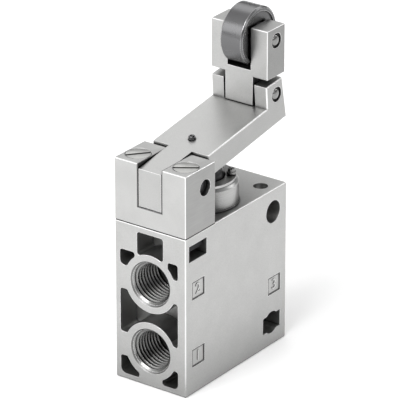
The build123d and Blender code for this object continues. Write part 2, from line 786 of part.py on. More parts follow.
# Pad under the plate: its round nose lies over the middle of the plunger
pad_front = root_y + pad_front_gap
pad_back = bore_y + pad_nose_radius
nose_centre = nose_z + pad_nose_radius
with BuildPart() as thrust_pad:
    with BuildSketch(Plane.YZ):
        with BuildLine():
            Polyline((bore_y - pad_nose_radius, nose_centre), (pad_front, nose_centre),
                     (pad_front, plate_under(pad_front) - seat_gap),
                     (pad_back, plate_under(pad_back) - seat_gap), (pad_back, nose_centre))
            ThreePointArc((pad_back, nose_centre), (bore_y, nose_z),
                          (bore_y - pad_nose_radius, nose_centre))
        make_face()
    extrude(amount=pad_width / 2, both=True)
    with Locations(pad_screw_plane):
        Hole(pad_screw_radius + close_fit, depth=3 * lever_plate)
    with BuildSketch(pad_screw_plane.offset(-pad_screw_grip)):
        Circle(pad_screw_head_radius + running_clearance)
    extrude(amount=-2 * lever_plate, mode=Mode.SUBTRACT)
thrust_pad.part.label = "thrust_pad"

with BuildPart() as thrust_pad_screw:
    with BuildSketch(pad_screw_plane.offset(pad_screw_stub)):
        Circle(pad_screw_radius)
    extrude(amount=-(pad_screw_stub + pad_screw_grip + seat_gap))
    chamfer(thrust_pad_screw.faces().sort_by(Axis.Z)[-1].edges(), pad_screw_bevel)
    with BuildSketch(pad_screw_plane.offset(-pad_screw_grip - seat_gap)):
        Circle(pad_screw_head_radius)
    extrude(amount=-pad_screw_head)
thrust_pad_screw.part.label = "thrust_pad_screw"

# Roller carrier: a forked block on a tongue between the ears
carrier_middle = (carrier_front + carrier_back) / 2
carrier_foot = carrier_z - carrier_round
block_foot = shoulder_z + carrier_edge
spring_room = carrier_spring_wire + spring_pocket_play
pocket_front = carrier_y - carrier_spring_radius - spring_room
pocket_top = carrier_z + carrier_spring_leg + spring_pocket_play
pocket_foot = carrier_foot - carrier_foot_gap
pocket_half = carrier_spring_length / 2 + carrier_spring_wire + spring_pocket_side
with BuildPart() as roller_carrier:
    with BuildSketch(Plane.XY.offset(shoulder_z)):
        with Locations((0, carrier_middle)):
            Rectangle(carrier_width, carrier_depth)
    extrude(amount=carrier_height)
    fillet(roller_carrier.edges(), carrier_edge)
    with BuildSketch(Plane.YZ):
        with BuildLine():
            Polyline((carrier_y, carrier_foot), (carrier_front, carrier_foot),
                     (carrier_front, block_foot), (carrier_tongue_back, block_foot),
                     (carrier_tongue_back, carrier_z))
            RadiusArc((carrier_y, carrier_foot), (carrier_tongue_back, carrier_z), -carrier_round)
        make_face()
    extrude(amount=carrier_tongue_half, both=True)
    # Slot for the roller, open at the top
    with BuildSketch(Plane.XY.offset(roller_z - roller_radius - roller_foot_gap)):
        with Locations((0, carrier_middle)):
            Rectangle(roller_width + 2 * roller_side_gap, carrier_depth)
    extrude(amount=carrier_height, mode=Mode.SUBTRACT)
    # Pocket in the tongue's back for the torsion spring
    with BuildSketch(Plane.YZ):
        with BuildLine():
            Polyline((pocket_front, pocket_foot), (carrier_tongue_back, pocket_foot),
                     (carrier_tongue_back, pocket_top), (pocket_front, pocket_top), close=True)
        make_face()
    extrude(amount=pocket_half, both=True, mode=Mode.SUBTRACT)
    with Locations(Plane((carrier_width / 2, carrier_y, carrier_z), z_dir=(1, 0, 0))):
        Hole(carrier_pin_radius + running_clearance, depth=carrier_width)
    for hand in (-1, 1):
        with Locations(Plane((hand * carrier_width / 2, roller_y, roller_z), z_dir=(hand, 0, 0))):
            CounterBoreHole(carrier_pin_radius, carrier_pin_recess_radius, carrier_pin_recess_depth,
                            depth=carrier_width / 2)
roller_carrier.part.label = "roller_carrier"

with BuildPart() as carrier_pin:
    with BuildSketch(Plane((0, carrier_y, carrier_z), z_dir=(1, 0, 0))):
        Circle(carrier_pin_radius)
    extrude(amount=lever_half - carrier_pin_recess_depth - seat_gap, both=True)
carrier_pin.part.label = "carrier_pin"

# Torsion spring: a short coil on the carrier's pin, one leg up the carrier, one on the lever
carrier_axis = Axis((0, carrier_y, carrier_z), (1, 0, 0))
coil_turns = carrier_spring_turns + (90 - carrier_spring_tilt) / 360
coil_start = (-carrier_spring_length / 2, carrier_y, carrier_z)
tilt = radians(carrier_spring_tilt)
lower_leg_drop = carrier_round + carrier_foot_gap - carrier_spring_wire - stack_clearance
lower_leg = (lower_leg_drop - carrier_spring_radius * cos(tilt)) / sin(tilt)
with BuildPart() as carrier_spring:
    with BuildLine() as spring_path:
        upright_coil = Helix(carrier_spring_length / coil_turns, carrier_spring_length,
                             carrier_spring_radius, center=coil_start, direction=(1, 0, 0),
                             lefthand=True, mode=Mode.PRIVATE)
        coil = upright_coil.rotate(carrier_axis, 180 - carrier_spring_tilt)
        add(coil)
        Line(coil @ 0 - (coil % 0) * lower_leg, coil @ 0)
        Line(coil @ 1, coil @ 1 + (coil % 1) * carrier_spring_leg)
    with BuildSketch(Plane(spring_path.wire() @ 0, z_dir=spring_path.wire() % 0)):
        Circle(carrier_spring_wire)
    sweep(path=spring_path.wire(), is_frenet=True)
carrier_spring.part.label = "carrier_spring"

# Roller on its bush and pin
with BuildPart() as roller:
    with BuildSketch(Plane((0, roller_y, roller_z), z_dir=(1, 0, 0))):
        Circle(roller_radius)
        Circle(bush_radius, mode=Mode.SUBTRACT)
    extrude(amount=roller_width / 2, both=True)
    for face in (roller.faces().sort_by(Axis.X)[0], roller.faces().sort_by(Axis.X)[-1]):
        chamfer(face.edges().sort_by(SortBy.RADIUS)[-1], roller_chamfer)
    for hand in (-1, 1):
        with BuildSketch(Plane((hand * roller_width / 2, roller_y, roller_z), z_dir=(hand, 0, 0))):
            Circle(roller_radius - roller_rim)
            Circle(roller_hub_radius, mode=Mode.SUBTRACT)
        extrude(amount=-roller_recess, mode=Mode.SUBTRACT)
roller.part.label = "roller"

with BuildPart() as roller_bush:
    with BuildSketch(Plane((0, roller_y, roller_z), z_dir=(1, 0, 0))):
        Circle(bush_radius - close_fit)
        Circle(carrier_pin_radius + running_clearance, mode=Mode.SUBTRACT)
    extrude(amount=roller_width / 2, both=True)
roller_bush.part.label = "roller_bush"

with BuildPart() as roller_pin:
    with BuildSketch(Plane((0, roller_y, roller_z), z_dir=(1, 0, 0))):
        Circle(carrier_pin_radius)
    extrude(amount=carrier_width / 2 - carrier_pin_recess_depth - seat_gap, both=True)
roller_pin.part.label = "roller_pin"

os.makedirs("parts", exist_ok=True)
export_step(valve_body.part, "parts/valve_body.step")
export_step(supply_cage, "parts/supply_cage.step")
export_step(exhaust_cage, "parts/exhaust_cage.step")
export_step(outlet_cage, "parts/outlet_cage.step")
export_step(spool_guide.part, "parts/spool_guide.step")
export_step(spool_seals, "parts/spool_seals.step")
export_step(cage_seals, "parts/cage_seals.step")
export_step(spool.part, "parts/spool.step")
export_step(spool_plug.part, "parts/spool_plug.step")
export_step(return_spring.part, "parts/return_spring.step")
export_step(plunger_spring.part, "parts/plunger_spring.step")
export_step(plunger.part, "parts/plunger.step")
export_step(collar.part, "parts/collar.step")
export_step(plunger_wiper.part, "parts/plunger_wiper.step")
export_step(wiper_plate.part, "parts/wiper_plate.step")
export_step(wiper_plate_screws.part, "parts/wiper_plate_screws.step")
export_step(lever_bracket.part, "parts/lever_bracket.step")
export_step(bracket_screws.part, "parts/bracket_screws.step")
export_step(bracket_nuts.part, "parts/bracket_nuts.step")
export_step(lever_pin.part, "parts/lever_pin.step")
export_step(lever.part, "parts/lever.step")
export_step(thrust_pad.part, "parts/thrust_pad.step")
export_step(thrust_pad_screw.part, "parts/thrust_pad_screw.step")
export_step(roller_carrier.part, "parts/roller_carrier.step")
export_step(carrier_pin.part, "parts/carrier_pin.step")
export_step(carrier_spring.part, "parts/carrier_spring.step")
export_step(roller.part, "parts/roller.step")
export_step(roller_bush.part, "parts/roller_bush.step")
export_step(roller_pin.part, "parts/roller_pin.step")
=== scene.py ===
"""The looks of a switching valve with a one-way roller lever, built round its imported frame.

Lengths are written in millimetres and turned to metres by MM where they meet Blender, apart from the
studio's floor and lamps, which are written in metres. Pieces are modelled about the origin with their
axis along Z and then set down in their place.
"""

import json
import logging
import math
from dataclasses import dataclass
from enum import Enum
from functools import cached_property
from typing import Callable, Optional, Sequence, Union

import bpy
from bpy.types import Camera, Light, Material, Node, NodeSocket, NodeTree, Object, World
from mathutils import Matrix, Vector


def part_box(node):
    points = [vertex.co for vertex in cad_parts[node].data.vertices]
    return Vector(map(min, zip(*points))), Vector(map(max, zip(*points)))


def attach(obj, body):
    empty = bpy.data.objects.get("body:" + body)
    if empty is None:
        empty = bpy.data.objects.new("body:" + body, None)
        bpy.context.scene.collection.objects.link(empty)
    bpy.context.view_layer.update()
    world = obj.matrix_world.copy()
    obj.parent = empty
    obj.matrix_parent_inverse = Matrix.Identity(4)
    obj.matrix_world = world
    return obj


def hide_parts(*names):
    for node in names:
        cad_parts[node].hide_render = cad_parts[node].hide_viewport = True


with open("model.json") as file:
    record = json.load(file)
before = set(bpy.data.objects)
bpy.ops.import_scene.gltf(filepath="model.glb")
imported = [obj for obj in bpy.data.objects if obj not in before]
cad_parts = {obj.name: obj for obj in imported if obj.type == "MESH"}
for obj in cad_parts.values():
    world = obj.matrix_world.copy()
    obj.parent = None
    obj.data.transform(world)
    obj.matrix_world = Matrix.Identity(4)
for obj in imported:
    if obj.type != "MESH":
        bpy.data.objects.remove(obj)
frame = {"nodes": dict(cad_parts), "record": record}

MM = 0.001
LOG = logging.getLogger("valve")
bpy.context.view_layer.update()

Triple = tuple[float, float, float]
Value = Union[Node, NodeSocket, float]
Test = Callable[[Vector, Vector], bool]

# Rays that the Bevel and Ambient Occlusion nodes send out
SAMPLES = 8
# How far the roughness swings with the clouds
ROUGHNESS_SWING = 0.04
# The two colour inputs of a Mix node, by number
FIRST_COLOUR, SECOND_COLOUR = 6, 7
# Ranges for Map Range nodes. Most of a noise's values lie in NOISE, and PATCHES breaks up the wear and
# the painted highlight on edges
NOISE = {"From Min": 0.3, "From Max": 0.7}
PATCHES = {"From Min": 0.25, "From Max": 0.6, "To Min": 0.8}
# The cosine between the flat and the rounded normal, from a plain face to a sharp edge, where highlight
# is painted
SHARP = {"From Min": 0.998, "From Max": 0.88}
# The largest part of a normal, from a face along the axes to a fillet, where highlight is painted, and
# its part on the flanks, where shade is painted
FILLET = {"From Min": 0.97, "From Max": 0.85}
FLANK_SHADE = {"From Min": 0.8, "From Max": 0.95, "To Min": 1.0}
# How open the surface lies: on outer edges, where highlight is painted, and in deep hollows and at the
# foot of tall faces, where shade is painted
OUTER = {"From Min": 0.72, "From Max": 0.96}
DEEP = {"From Min": 0.15, "From Max": 0.72}
FOOT = {"From Min": 0.5, "From Max": 0.95}
# The room's light, by how steeply a ray rises
OVERHEAD = {"From Min": 0.1, "From Max": 0.8}

# Faces and runs count as level past these parts of their direction, and a rim up to this depth
LEVEL_FACE = 0.9
LEVEL_RUN = 0.5
RIM_DEPTH = 0.001
# Edges sharper than this are broken, by this width where a driver's slot is cut
BROKEN_DEGREES = 50.0
SLOT_BREAK = 0.04
# Edges up to these angles are shaded smooth: on most pieces, on slotted screws and on threads
SMOOTH, SMOOTH_SCREW, SMOOTH_THREAD = 40.0, 30.0, 50.0
# Points closer than this are one
DOUBLE_GAP = 0.0005
# Turns a piece that is drawn flat, so that it reads on the body's right side
ON_RIGHT_SIDE = Matrix(((0, 0, 1), (1, 0, 0), (0, 1, 0))).to_4x4()
ACROSS = Vector((1, 0, 0))


class Marks(Enum):
    """How a surface was made, which decides its fine relief."""

    BLASTED = "fine pits all over"
    MILLED = "straight tool lines along one axis"
    TURNED = "rings about an axis"
    MOULDED = "a faint soft skin"


class Axis(Enum):
    """The turn that lays a pattern's own Z along one of the model's axes, in radians."""

    X = (0.0, math.pi / 2, 0.0)
    Y = (-math.pi / 2, 0.0, 0.0)
    Z = (0.0, 0.0, 0.0)


class Pick(Enum):
    """What an edit selects."""

    FACES = "FACE"
    EDGES = "EDGE"


def linear(code: str) -> tuple[float, float, float, float]:
    """Turn an sRGB hex colour to linear light.

    Args:
        code: six hex digits.

    Returns:
        Red, green, blue and an alpha of one.
    """
    parts = [int(code[start:start + 2], 16) / 255 for start in (0, 2, 4)]
    light = [c / 12.92 if c <= 0.04045 else ((c + 0.055) / 1.055) ** 2.4 for c in parts]
    return (*light, 1.0)


def add_node(tree: NodeTree, kind: str, inputs: Optional[dict] = None, **settings: object) -> Node:
    """Add one shader node with its settings and links.

    Args:
        tree: the material's or world's node tree.
        kind: the node's type without its ShaderNode prefix.
        inputs: a value, an output or a whole node for each named or numbered input. A node gives
            its first output that is in use.
        settings: the node's own properties.

    Returns:
        The new node.
    """
    node = tree.nodes.new("ShaderNode" + kind)
    for name, value in settings.items():
        setattr(node, name, value)
    for socket, value in (inputs or {}).items():
        if isinstance(value, Node):
            value = next(output for output in value.outputs if output.enabled)
        if isinstance(value, NodeSocket):
            tree.links.new(value, node.inputs[socket])
        else:
            node.inputs[socket].default_value = value
    return node


def around(middle: float, reach: float) -> dict[str, float]:
    """The Map Range inputs that turn a noise to values about a middle one."""
    return {**NOISE, "To Min": middle - reach, "To Max": middle + reach}


def empty_tree(owner: Union[Material, World]) -> NodeTree:
    """Clear the node tree of a new material or world.

    Args:
        owner: the material or world.

    Returns:
        Its empty tree.
    """
    owner.use_nodes = True
    owner.node_tree.nodes.clear()
    return owner.node_tree


@dataclass(frozen=True)
class Seam:
    """A thin line of painted shade along a joint, or of painted highlight along an edge.

    It is a box between two corners in millimetres, alike on both sides of the middle, and its tone
    multiplies the colour inside.
    """

    low: Triple
    high: Triple
    tone: float


@dataclass(frozen=True)
class Finish:
    """A material: what it is made of and how its surface was made.

    Roughness and colour start from typical values for the real material and are matched to the
    object. A metal keeps the default index of refraction. Marks lie mark_mm apart, and lines are
    mark_length_mm long. Wear is how far an outer edge turns to the worn colour, which stands partly
    for wear and partly for a painted highlight. Crevice, hollow and foot are how much painted shade
    darkens joints, hollows and the foot of tall faces, each within its own reach. Flank multiplies
    the colour of the sides across X, a painted shade. A squared piece has its faces along the axes,
    so its fillets take the painted highlight by their normals. The mouths are the ports'
    countersinks, where mouth_shade paints shade.
    """

    name: str
    colour: str
    worn_and_highlight: str
    roughness: float
    marks: Marks
    mark_mm: float
    relief_mm: float
    metallic: float = 1.0
    mark_length_mm: float = 0.0
    wear_and_highlight: float = 0.95
    mottle: float = 0.05
    mottle_mm: float = 7.0
    crevice: float = 0.75
    crevice_mm: float = 0.7
    crevice_range: tuple[float, float] = (0.35, 0.92)
    hollow: float = 0.75
    hollow_mm: float = 7.0
    foot: float = 0.0
    foot_mm: float = 28.0
    edge_mm: float = 0.32
    flank_shade: float = 1.0
    squared: bool = False
    mouth_mm: float = 0.0
    mouth_heights: tuple[float, ...] = ()
    mouth_shade: float = 0.5
    seams: tuple[Seam, ...] = ()
    index: float = 1.5

    def material(self, centre: Sequence[float] = (0.0, 0.0, 0.0), axis: Axis = Axis.Z,
                 suffix: str = "") -> Material:
        """Build the material, or return it if it is there.

        Args:
            centre: where the pattern's axis runs, in millimetres.
            axis: the direction of the pattern's axis.
            suffix: tells apart the copies for different centres.

        Returns:
            The procedural material.
        """
        title = self.name + suffix
        if title not in bpy.data.materials:
            tree = empty_tree(bpy.data.materials.new(title))
            Coating(self, tree, centre, axis).join_up()
        return bpy.data.materials[title]


@dataclass
class Coating:
    """The nodes of one finish. What several of them read is built once and kept."""

    finish: Finish
    tree: NodeTree
    centre: Sequence[float]
    axis: Axis

    def join_up(self) -> None:
        """Build the shader and its output."""
        finish = self.finish
        rough = self.add("MapRange", {"Value": self.cloud, **around(finish.roughness, ROUGHNESS_SWING)})
        bump = self.add("Bump", {"Height": self.relief, "Distance": finish.relief_mm * MM,
                                 "Normal": self.rounded})
        shader = self.add("BsdfPrincipled", {
            "Base Color": self.colour(), "Metallic": finish.metallic, "Roughness": rough,
            "Normal": bump, "IOR": finish.index})
        self.add("OutputMaterial", {"Surface": shader})

    def add(self, kind: str, inputs: Optional[dict] = None, **settings: object) -> Node:
        """Add one node to this tree."""
        return add_node(self.tree, kind, inputs, **settings)

    @cached_property
    def place(self) -> NodeSocket:
        """The point on the piece, in metres."""
        return self.add("TexCoord").outputs["Object"]

    @cached_property
    def normal(self) -> Node:
        """The piece's normal, with its signs dropped."""
        return self.add("VectorMath", {0: self.add("TexCoord").outputs["Normal"]}, operation="ABSOLUTE")

    @cached_property
    def rounded(self) -> Node:
        """The normal as it would be with rounded edges."""
        return self.add("Bevel", {"Radius": self.finish.edge_mm * MM}, samples=SAMPLES)

    @cached_property
    def cloud(self) -> Node:
        """Broad, soft clouds."""
        return self.add("TexNoise", {"Vector": self.place, "Detail": 3.0,
                                     "Scale": 1 / (self.finish.mottle_mm * MM)})

    @cached_property
    def hollow(self) -> NodeSocket:
        """How open the surface lies within the hollows' reach."""
        return self.add("AmbientOcclusion", {"Distance": self.finish.hollow_mm * MM},
                        samples=SAMPLES).outputs["AO"]

    @cached_property
    def relief(self) -> Node:
        """Draw the tool's or the mould's marks.

        Returns:
            A height from 0 to 1.
        """
        width = self.finish.mark_mm * MM
        length = self.finish.mark_length_mm * MM or width
        grid = self.add("Mapping", {
            "Vector": self.place, "Location": [c * MM for c in self.centre],
            "Rotation": self.axis.value, "Scale": (width, width, length)}, vector_type="TEXTURE")
        noise = {"Scale": 1.0, "Detail": 2.0}
        if self.finish.marks is not Marks.TURNED:
            return self.add("TexNoise", {"Vector": grid, **noise})
        parts = self.add("SeparateXYZ", {"Vector": grid}).outputs
        flat = self.add("CombineXYZ", {"X": parts["X"], "Y": parts["Y"]})
        radius = self.add("VectorMath", {0: flat}, operation="LENGTH")
        ring = self.add("Math", {0: radius, 1: parts["Z"]}, operation="ADD")
        return self.add("TexNoise", {"W": ring, **noise}, noise_dimensions="1D")

    @cached_property
    def fillets(self) -> Node:
        """The rounded edges of a squared piece, which take the painted highlight: there the normal leaves
        all three axes.
        """
        return self.add("MapRange", {"Value": self.largest(self.normal), **FILLET})

    @cached_property
    def mouths(self) -> Node:
        """Find the ports' countersunk mouths, which are cut clean: they take no painted highlight, and
        painted shade darkens them.

        Returns:
            1 on a mouth's cone and 0 elsewhere.
        """
        flat = self.add("VectorMath", {0: self.place, 1: (1.0, 0.0, 1.0)}, operation="MULTIPLY")
        inside: Value = 0.0
        for height in self.finish.mouth_heights:
            middle = (0.0, 0.0, height * MM)
            away = self.add("VectorMath", {0: flat, 1: middle}, operation="DISTANCE")
            near = self.add("Math", {0: away, 1: self.finish.mouth_mm * MM}, operation="LESS_THAN")
            inside = self.add("Math", {0: inside, 1: near}, operation="MAXIMUM")
        return self.add("Math", {0: inside, 1: self.fillets}, operation="MULTIPLY")

    def largest(self, vector: Node) -> Node:
        """Find the largest of a vector's three parts.

        Args:
            vector: the node that gives the vector.

        Returns:
            The node that gives its largest part.
        """
        most, *others = self.add("SeparateXYZ", {"Vector": vector}).outputs
        for part in others:
            most = self.add("Math", {0: most, 1: part}, operation="MAXIMUM")
        return most

    def rubbed_and_highlit(self) -> Node:
        """Find the outer edges, which turn bright: partly from wear, partly as a painted highlight.

        Returns:
            How far the colour turns to the worn colour: part wear, part painted highlight.
        """
        flat = self.add("NewGeometry").outputs["Normal"]
        same = self.add("VectorMath", {0: self.rounded, 1: flat}, operation="DOT_PRODUCT")
        edge = self.add("MapRange", {"Value": same, **SHARP})
        if self.finish.squared:
            fillets = self.fillets
            if self.finish.mouth_heights:
                fillets = self.add("Math", {0: fillets, 1: self.mouths}, operation="SUBTRACT")
            edge = self.add("Math", {0: edge, 1: fillets}, operation="MAXIMUM")
        outer = self.add("MapRange", {"Value": self.hollow, **OUTER})
        patchy = self.add("MapRange", {"Value": self.cloud, **PATCHES})
        for factor in (outer, patchy, self.finish.wear_and_highlight):
            edge = self.add("Math", {0: edge, 1: factor}, operation="MULTIPLY")
        return edge

    def colour(self) -> Node:
        """Vary the colour with clouds and marks, paint highlight and wear on its edges, and paint shade
        on its sides, mouths, joints, hollows and foot, with lines of shade or highlight on its seams.

        Returns:
            The node that gives the final colour.
        """
        finish = self.finish
        factors = [self.add("MapRange", {"Value": self.relief, **around(1, finish.mottle)})]
        # The sides across X get painted shade.
        if finish.flank_shade < 1.0:
            across = self.add("SeparateXYZ", {"Vector": self.normal}).outputs["X"]
            factors.append(self.add("MapRange", {"Value": across, **FLANK_SHADE, "To Max": finish.flank_shade}))
        # The ports' countersunk mouths get painted shade.
        if finish.mouth_heights:
            factors.append(self.add("MapRange", {"Value": self.mouths, "To Min": 1.0,
                                                 "To Max": finish.mouth_shade}))
        shade = self.add("MapRange", {"Value": self.cloud, **around(1, finish.mottle)})
        for factor in factors:
            shade = self.add("Math", {0: shade, 1: factor}, operation="MULTIPLY")
        plain = self.add("VectorMath", {0: linear(finish.colour)[:3], "Scale": shade}, operation="SCALE")
        # The worn colour on outer edges is partly wear and partly a painted highlight.
        colour = self.add("Mix", {"Factor": self.rubbed_and_highlit(), FIRST_COLOUR: plain,
                                  SECOND_COLOUR: linear(finish.worn_and_highlight)}, data_type="RGBA")
        # Seams paint lines of shade or highlight; joints, hollows and the foot get painted shade.
        for factor in self.seams() + self.shadows():
            colour = self.add("VectorMath", {0: colour, "Scale": factor}, operation="SCALE")
        return colour

    def seams(self) -> list[Node]:
        """Paint thin lines along joints and edges: shade where the tone is below one, highlight where it
        is above.

        Returns:
            What each seam multiplies the colour by: its tone inside its box and 1 outside.
        """
        if not self.finish.seams:
            return []
        parts = self.add("SeparateXYZ", {"Vector": self.place}).outputs
        side = self.add("Math", {0: parts["X"]}, operation="ABSOLUTE")
        spot = self.add("CombineXYZ", {"X": side, "Y": parts["Y"], "Z": parts["Z"]})
        factors = []
        for seam in self.finish.seams:
            middle = [(near + far) / 2 * MM for near, far in zip(seam.low, seam.high)]
            half = [(far - near) / 2 * MM for near, far in zip(seam.low, seam.high)]
            away = self.add("VectorMath", {0: spot, 1: middle}, operation="SUBTRACT")
            away = self.add("VectorMath", {0: away}, operation="ABSOLUTE")
            past = self.add("VectorMath", {0: away, 1: half}, operation="SUBTRACT")
            inside = self.add("Math", {0: self.largest(past), 1: 0.0}, operation="LESS_THAN")
            factors.append(self.add("MapRange", {"Value": inside, "To Min": 1.0, "To Max": seam.tone}))
        return factors

    def shadows(self) -> list[Node]:
        """Paint shade into joints, deep hollows and the foot of tall faces, by how open the surface lies.

        Returns:
            What joints, hollows and the foot of tall faces multiply the colour by.
        """
        finish = self.finish
        full, none = finish.crevice_range
        joint = self.add("AmbientOcclusion", {"Distance": finish.crevice_mm * MM}, samples=SAMPLES)
        measures = [(joint.outputs["AO"], {"From Min": full, "From Max": none}, finish.crevice),
                    (self.hollow, DEEP, finish.hollow)]
        if finish.foot:
            near = self.add("AmbientOcclusion", {"Distance": finish.foot_mm * MM}, samples=SAMPLES)
            measures.append((near.outputs["AO"], FOOT, finish.foot))
        return [self.add("MapRange", {"Value": value, **span, "To Min": 1 - share})
                for value, span, share in measures]


# Die-cast aluminium, shot-blasted: a pale satin grey with fine grain. The grit's pits are about
# 0.1 mm, drawn at 0.3 mm so that they show. A painted highlight runs along its top edge beside a line of
# painted shade at the joint, and it is painted darker in its mouths and towards its foot.
DIE_CAST = Finish("die_cast_aluminium_blasted", "BEBEBD", "FFFFFF", 0.44, Marks.BLASTED, 0.3, 0.012,
                  squared=True, mouth_mm=7.9, mouth_heights=(11.4, 19.4, 32.7), hollow=0.1, foot=0.3,
                  seams=(Seam((0.0, -26.0, 49.5), (13.0, -10.6, 49.8), 1.3),
                         Seam((0.0, -26.0, 49.8), (13.0, -10.6, 50.1), 0.35)))
# A dark line of painted shade along the walls of the shallow squares in it.
PAINTED_SHADE_LINE = Finish("settled_dirt", "646463", "8A8A89", 0.6, Marks.BLASTED, 0.2, 0.004, crevice=0.0,
                   hollow=0.0)
# The tapped threads in it: crests with a painted highlight, and roots darkened by painted shade.
TAPPED = Finish("tapped_aluminium_thread", "969695", "FFFFFF", 0.28, Marks.TURNED, 0.2, 0.004,
                wear_and_highlight=1.0, crevice=0.97, crevice_mm=1.1, crevice_range=(0.62, 0.95), hollow=0.6,
                hollow_mm=1.3, edge_mm=0.14)
# Milled aluminium: brighter than the casting, with faint tool lines. Painted shade lies in lines along
# its joints with the lever's tongue and the body, in its other joints and on its sides across X.
MILLED = Finish("milled_aluminium", "C0C0BF", "FFFFFF", 0.38, Marks.MILLED, 0.14, 0.006,
                mark_length_mm=6.0, flank_shade=0.66, crevice=0.92, crevice_mm=1.1, squared=True,
                seams=(Seam((4.2, -26.0, 55.7), (4.5, -10.0, 70.0), 0.3),
                       Seam((0.0, -26.0, 55.7), (4.2, -10.0, 56.02), 0.3),
                       Seam((0.0, -26.0, 49.9), (13.0, -10.0, 50.24), 0.3)))
# Cast light alloy of the lever, vibrated smooth and blasted, with painted shade on its sides across X.
LEVER_CAST = Finish("cast_alloy_lever_blasted", "B9B9B8", "FFFFFF", 0.42, Marks.BLASTED, 0.28, 0.010,
                    flank_shade=0.88, crevice=0.92, crevice_mm=1.1, hollow=0.4, squared=True)
# The carrier is the same casting, with painted shade darkening its sides across X.
CARRIER_CAST = Finish("cast_alloy_carrier_blasted", "B8B8B7", "FFFFFF", 0.40, Marks.BLASTED, 0.28,
                      0.010, flank_shade=0.64, squared=True)
# Turned aluminium: clean rings from the tool and a clear gloss, painted darker towards its foot.
TURNED_ALU = Finish("turned_aluminium", "B4B4B3", "FFFFFF", 0.34, Marks.TURNED, 0.3, 0.008,
                    crevice=0.4, foot=0.8, foot_mm=18.0)
# Stamped stainless steel ring: smooth and grey.
STAINLESS = Finish("stamped_stainless_steel", "B8B8B7", "F4F4F4", 0.30, Marks.TURNED, 0.12, 0.004,
                   mottle=0.04, hollow=0.4)
# Zinc plate over turned steel: bright, slightly clouded.
ZINC = Finish("zinc_plated_steel", "B6B6B4", "F2F2F0", 0.38, Marks.TURNED, 0.14, 0.005, wear_and_highlight=0.4,
              mottle=0.08, mottle_mm=1.8, edge_mm=0.1)
# The same plating on the small capped screws, duller from handling.
ZINC_CAP = Finish("zinc_plated_cap_screw", "8C8C8B", "F4F4F4", 0.3, Marks.TURNED, 0.12, 0.004,
                  mottle_mm=1.2, edge_mm=0.1)
# The end of the pad's screw: blackened steel, with a painted highlight on its facets and painted shade in
# its slot.
SCREW_TIP = Finish("blackened_steel_tip", "5E5E5F", "FFFFFF", 0.24, Marks.TURNED, 0.12, 0.004,
                   wear_and_highlight=1.0, crevice=0.97, crevice_range=(0.6, 0.97), hollow=0.2, edge_mm=0.16)
# Blackened steel nuts: nearly black and slightly rough.
BLACK_NUT = Finish("blackened_steel_nut", "2C2C2D", "707070", 0.42, Marks.BLASTED, 0.2, 0.006,
                   mottle=0.12, edge_mm=0.15)
# Ground steel pins: bright with very fine rings.
GROUND = Finish("ground_steel", "8E8E8D", "F8F8F8", 0.16, Marks.TURNED, 0.09, 0.003, mottle=0.04,
                crevice=0.9, hollow=0.35, edge_mm=0.1)
# The lever's pin: the same steel, painted dark for the shade in its recess.
PAINTED_SHADE_STEEL = Finish("oiled_steel", "4C4C4E", "B4B4B4", 0.36, Marks.TURNED, 0.1, 0.004, crevice=0.9,
               edge_mm=0.1)
# Hardened steel pad: dark grey from its heat treatment.
HARDENED = Finish("hardened_steel", "77777A", "C4C4C4", 0.34, Marks.MILLED, 0.12, 0.004,
                  mark_length_mm=3.0, mottle=0.08)
# Burnished hardened steel: dark grey with a soft gloss and rings from polishing, a painted highlight on
# its edges and painted shade towards its foot.
BURNISHED = Finish("burnished_steel", "747475", "F4F4F4", 0.27, Marks.TURNED, 0.11, 0.003,
                   mottle=0.04, wear_and_highlight=1.0, hollow=0.3, hollow_mm=4.0, foot=0.6, foot_mm=26.0,
                   edge_mm=0.25)
# Sintered bronze: dull yellow-brown and porous.
BRONZE = Finish("sintered_bronze", "A88B5E", "C9AE7C", 0.45, Marks.BLASTED, 0.12, 0.006, mottle=0.1)
# Drawn spring wire: grey and smooth.
SPRING_WIRE = Finish("drawn_spring_wire", "9C9C9B", "D8D8D8", 0.30, Marks.BLASTED, 0.10, 0.003,
                     edge_mm=0.05)
# Acetal: dense black plastic with a waxy sheen, and a typical IOR of 1.48.
ACETAL = Finish("moulded_acetal", "242425", "4A4A4B", 0.33, Marks.MOULDED, 0.5, 0.003, metallic=0.0,
                wear_and_highlight=0.3, index=1.48)
# Nitrile rubber: matt black, with a typical IOR of 1.52.
RUBBER = Finish("nitrile_rubber", "1B1B1C", "333333", 0.6, Marks.MOULDED, 0.25, 0.006, metallic=0.0,
                mottle=0.08, wear_and_highlight=0.2, index=1.52)
# Turned and clear-anodised sleeves: pale, with fine rings.
SLEEVE = Finish("turned_sleeve_aluminium", "B9BABB", "E6E6E6", 0.33, Marks.TURNED, 0.14, 0.004)
# The hard-anodised spool: a cooler grey, and glossy where the seals run.
SPOOL = Finish("hard_anodised_aluminium", "9EA0A2", "CFCFCF", 0.22, Marks.TURNED, 0.08, 0.002)


def deselect() -> None:
    """Clear the selection, since an operator acts on all that is selected."""
    if bpy.context.mode != "OBJECT":
        bpy.ops.object.mode_set(mode="OBJECT")
    bpy.ops.object.select_all(action="DESELECT")


def select_only(piece: Object) -> None:
    """Select one piece by itself and make it the active one.

    Args:
        piece: the object.
    """
    deselect()
    piece.select_set(True)
    bpy.context.view_layer.objects.active = piece


def start(operator: Callable, name: str, **settings: object) -> Object:
    """Add a primitive by itself and name it.

    Args:
        operator: the primitive's operator.
        name: the piece's name.
        settings: the operator's settings, lengths in metres.

    Returns:
        The new object.
    """
    deselect()
    operator(**settings)
    piece = bpy.context.object
    piece.name = piece.data.name = name
    return piece


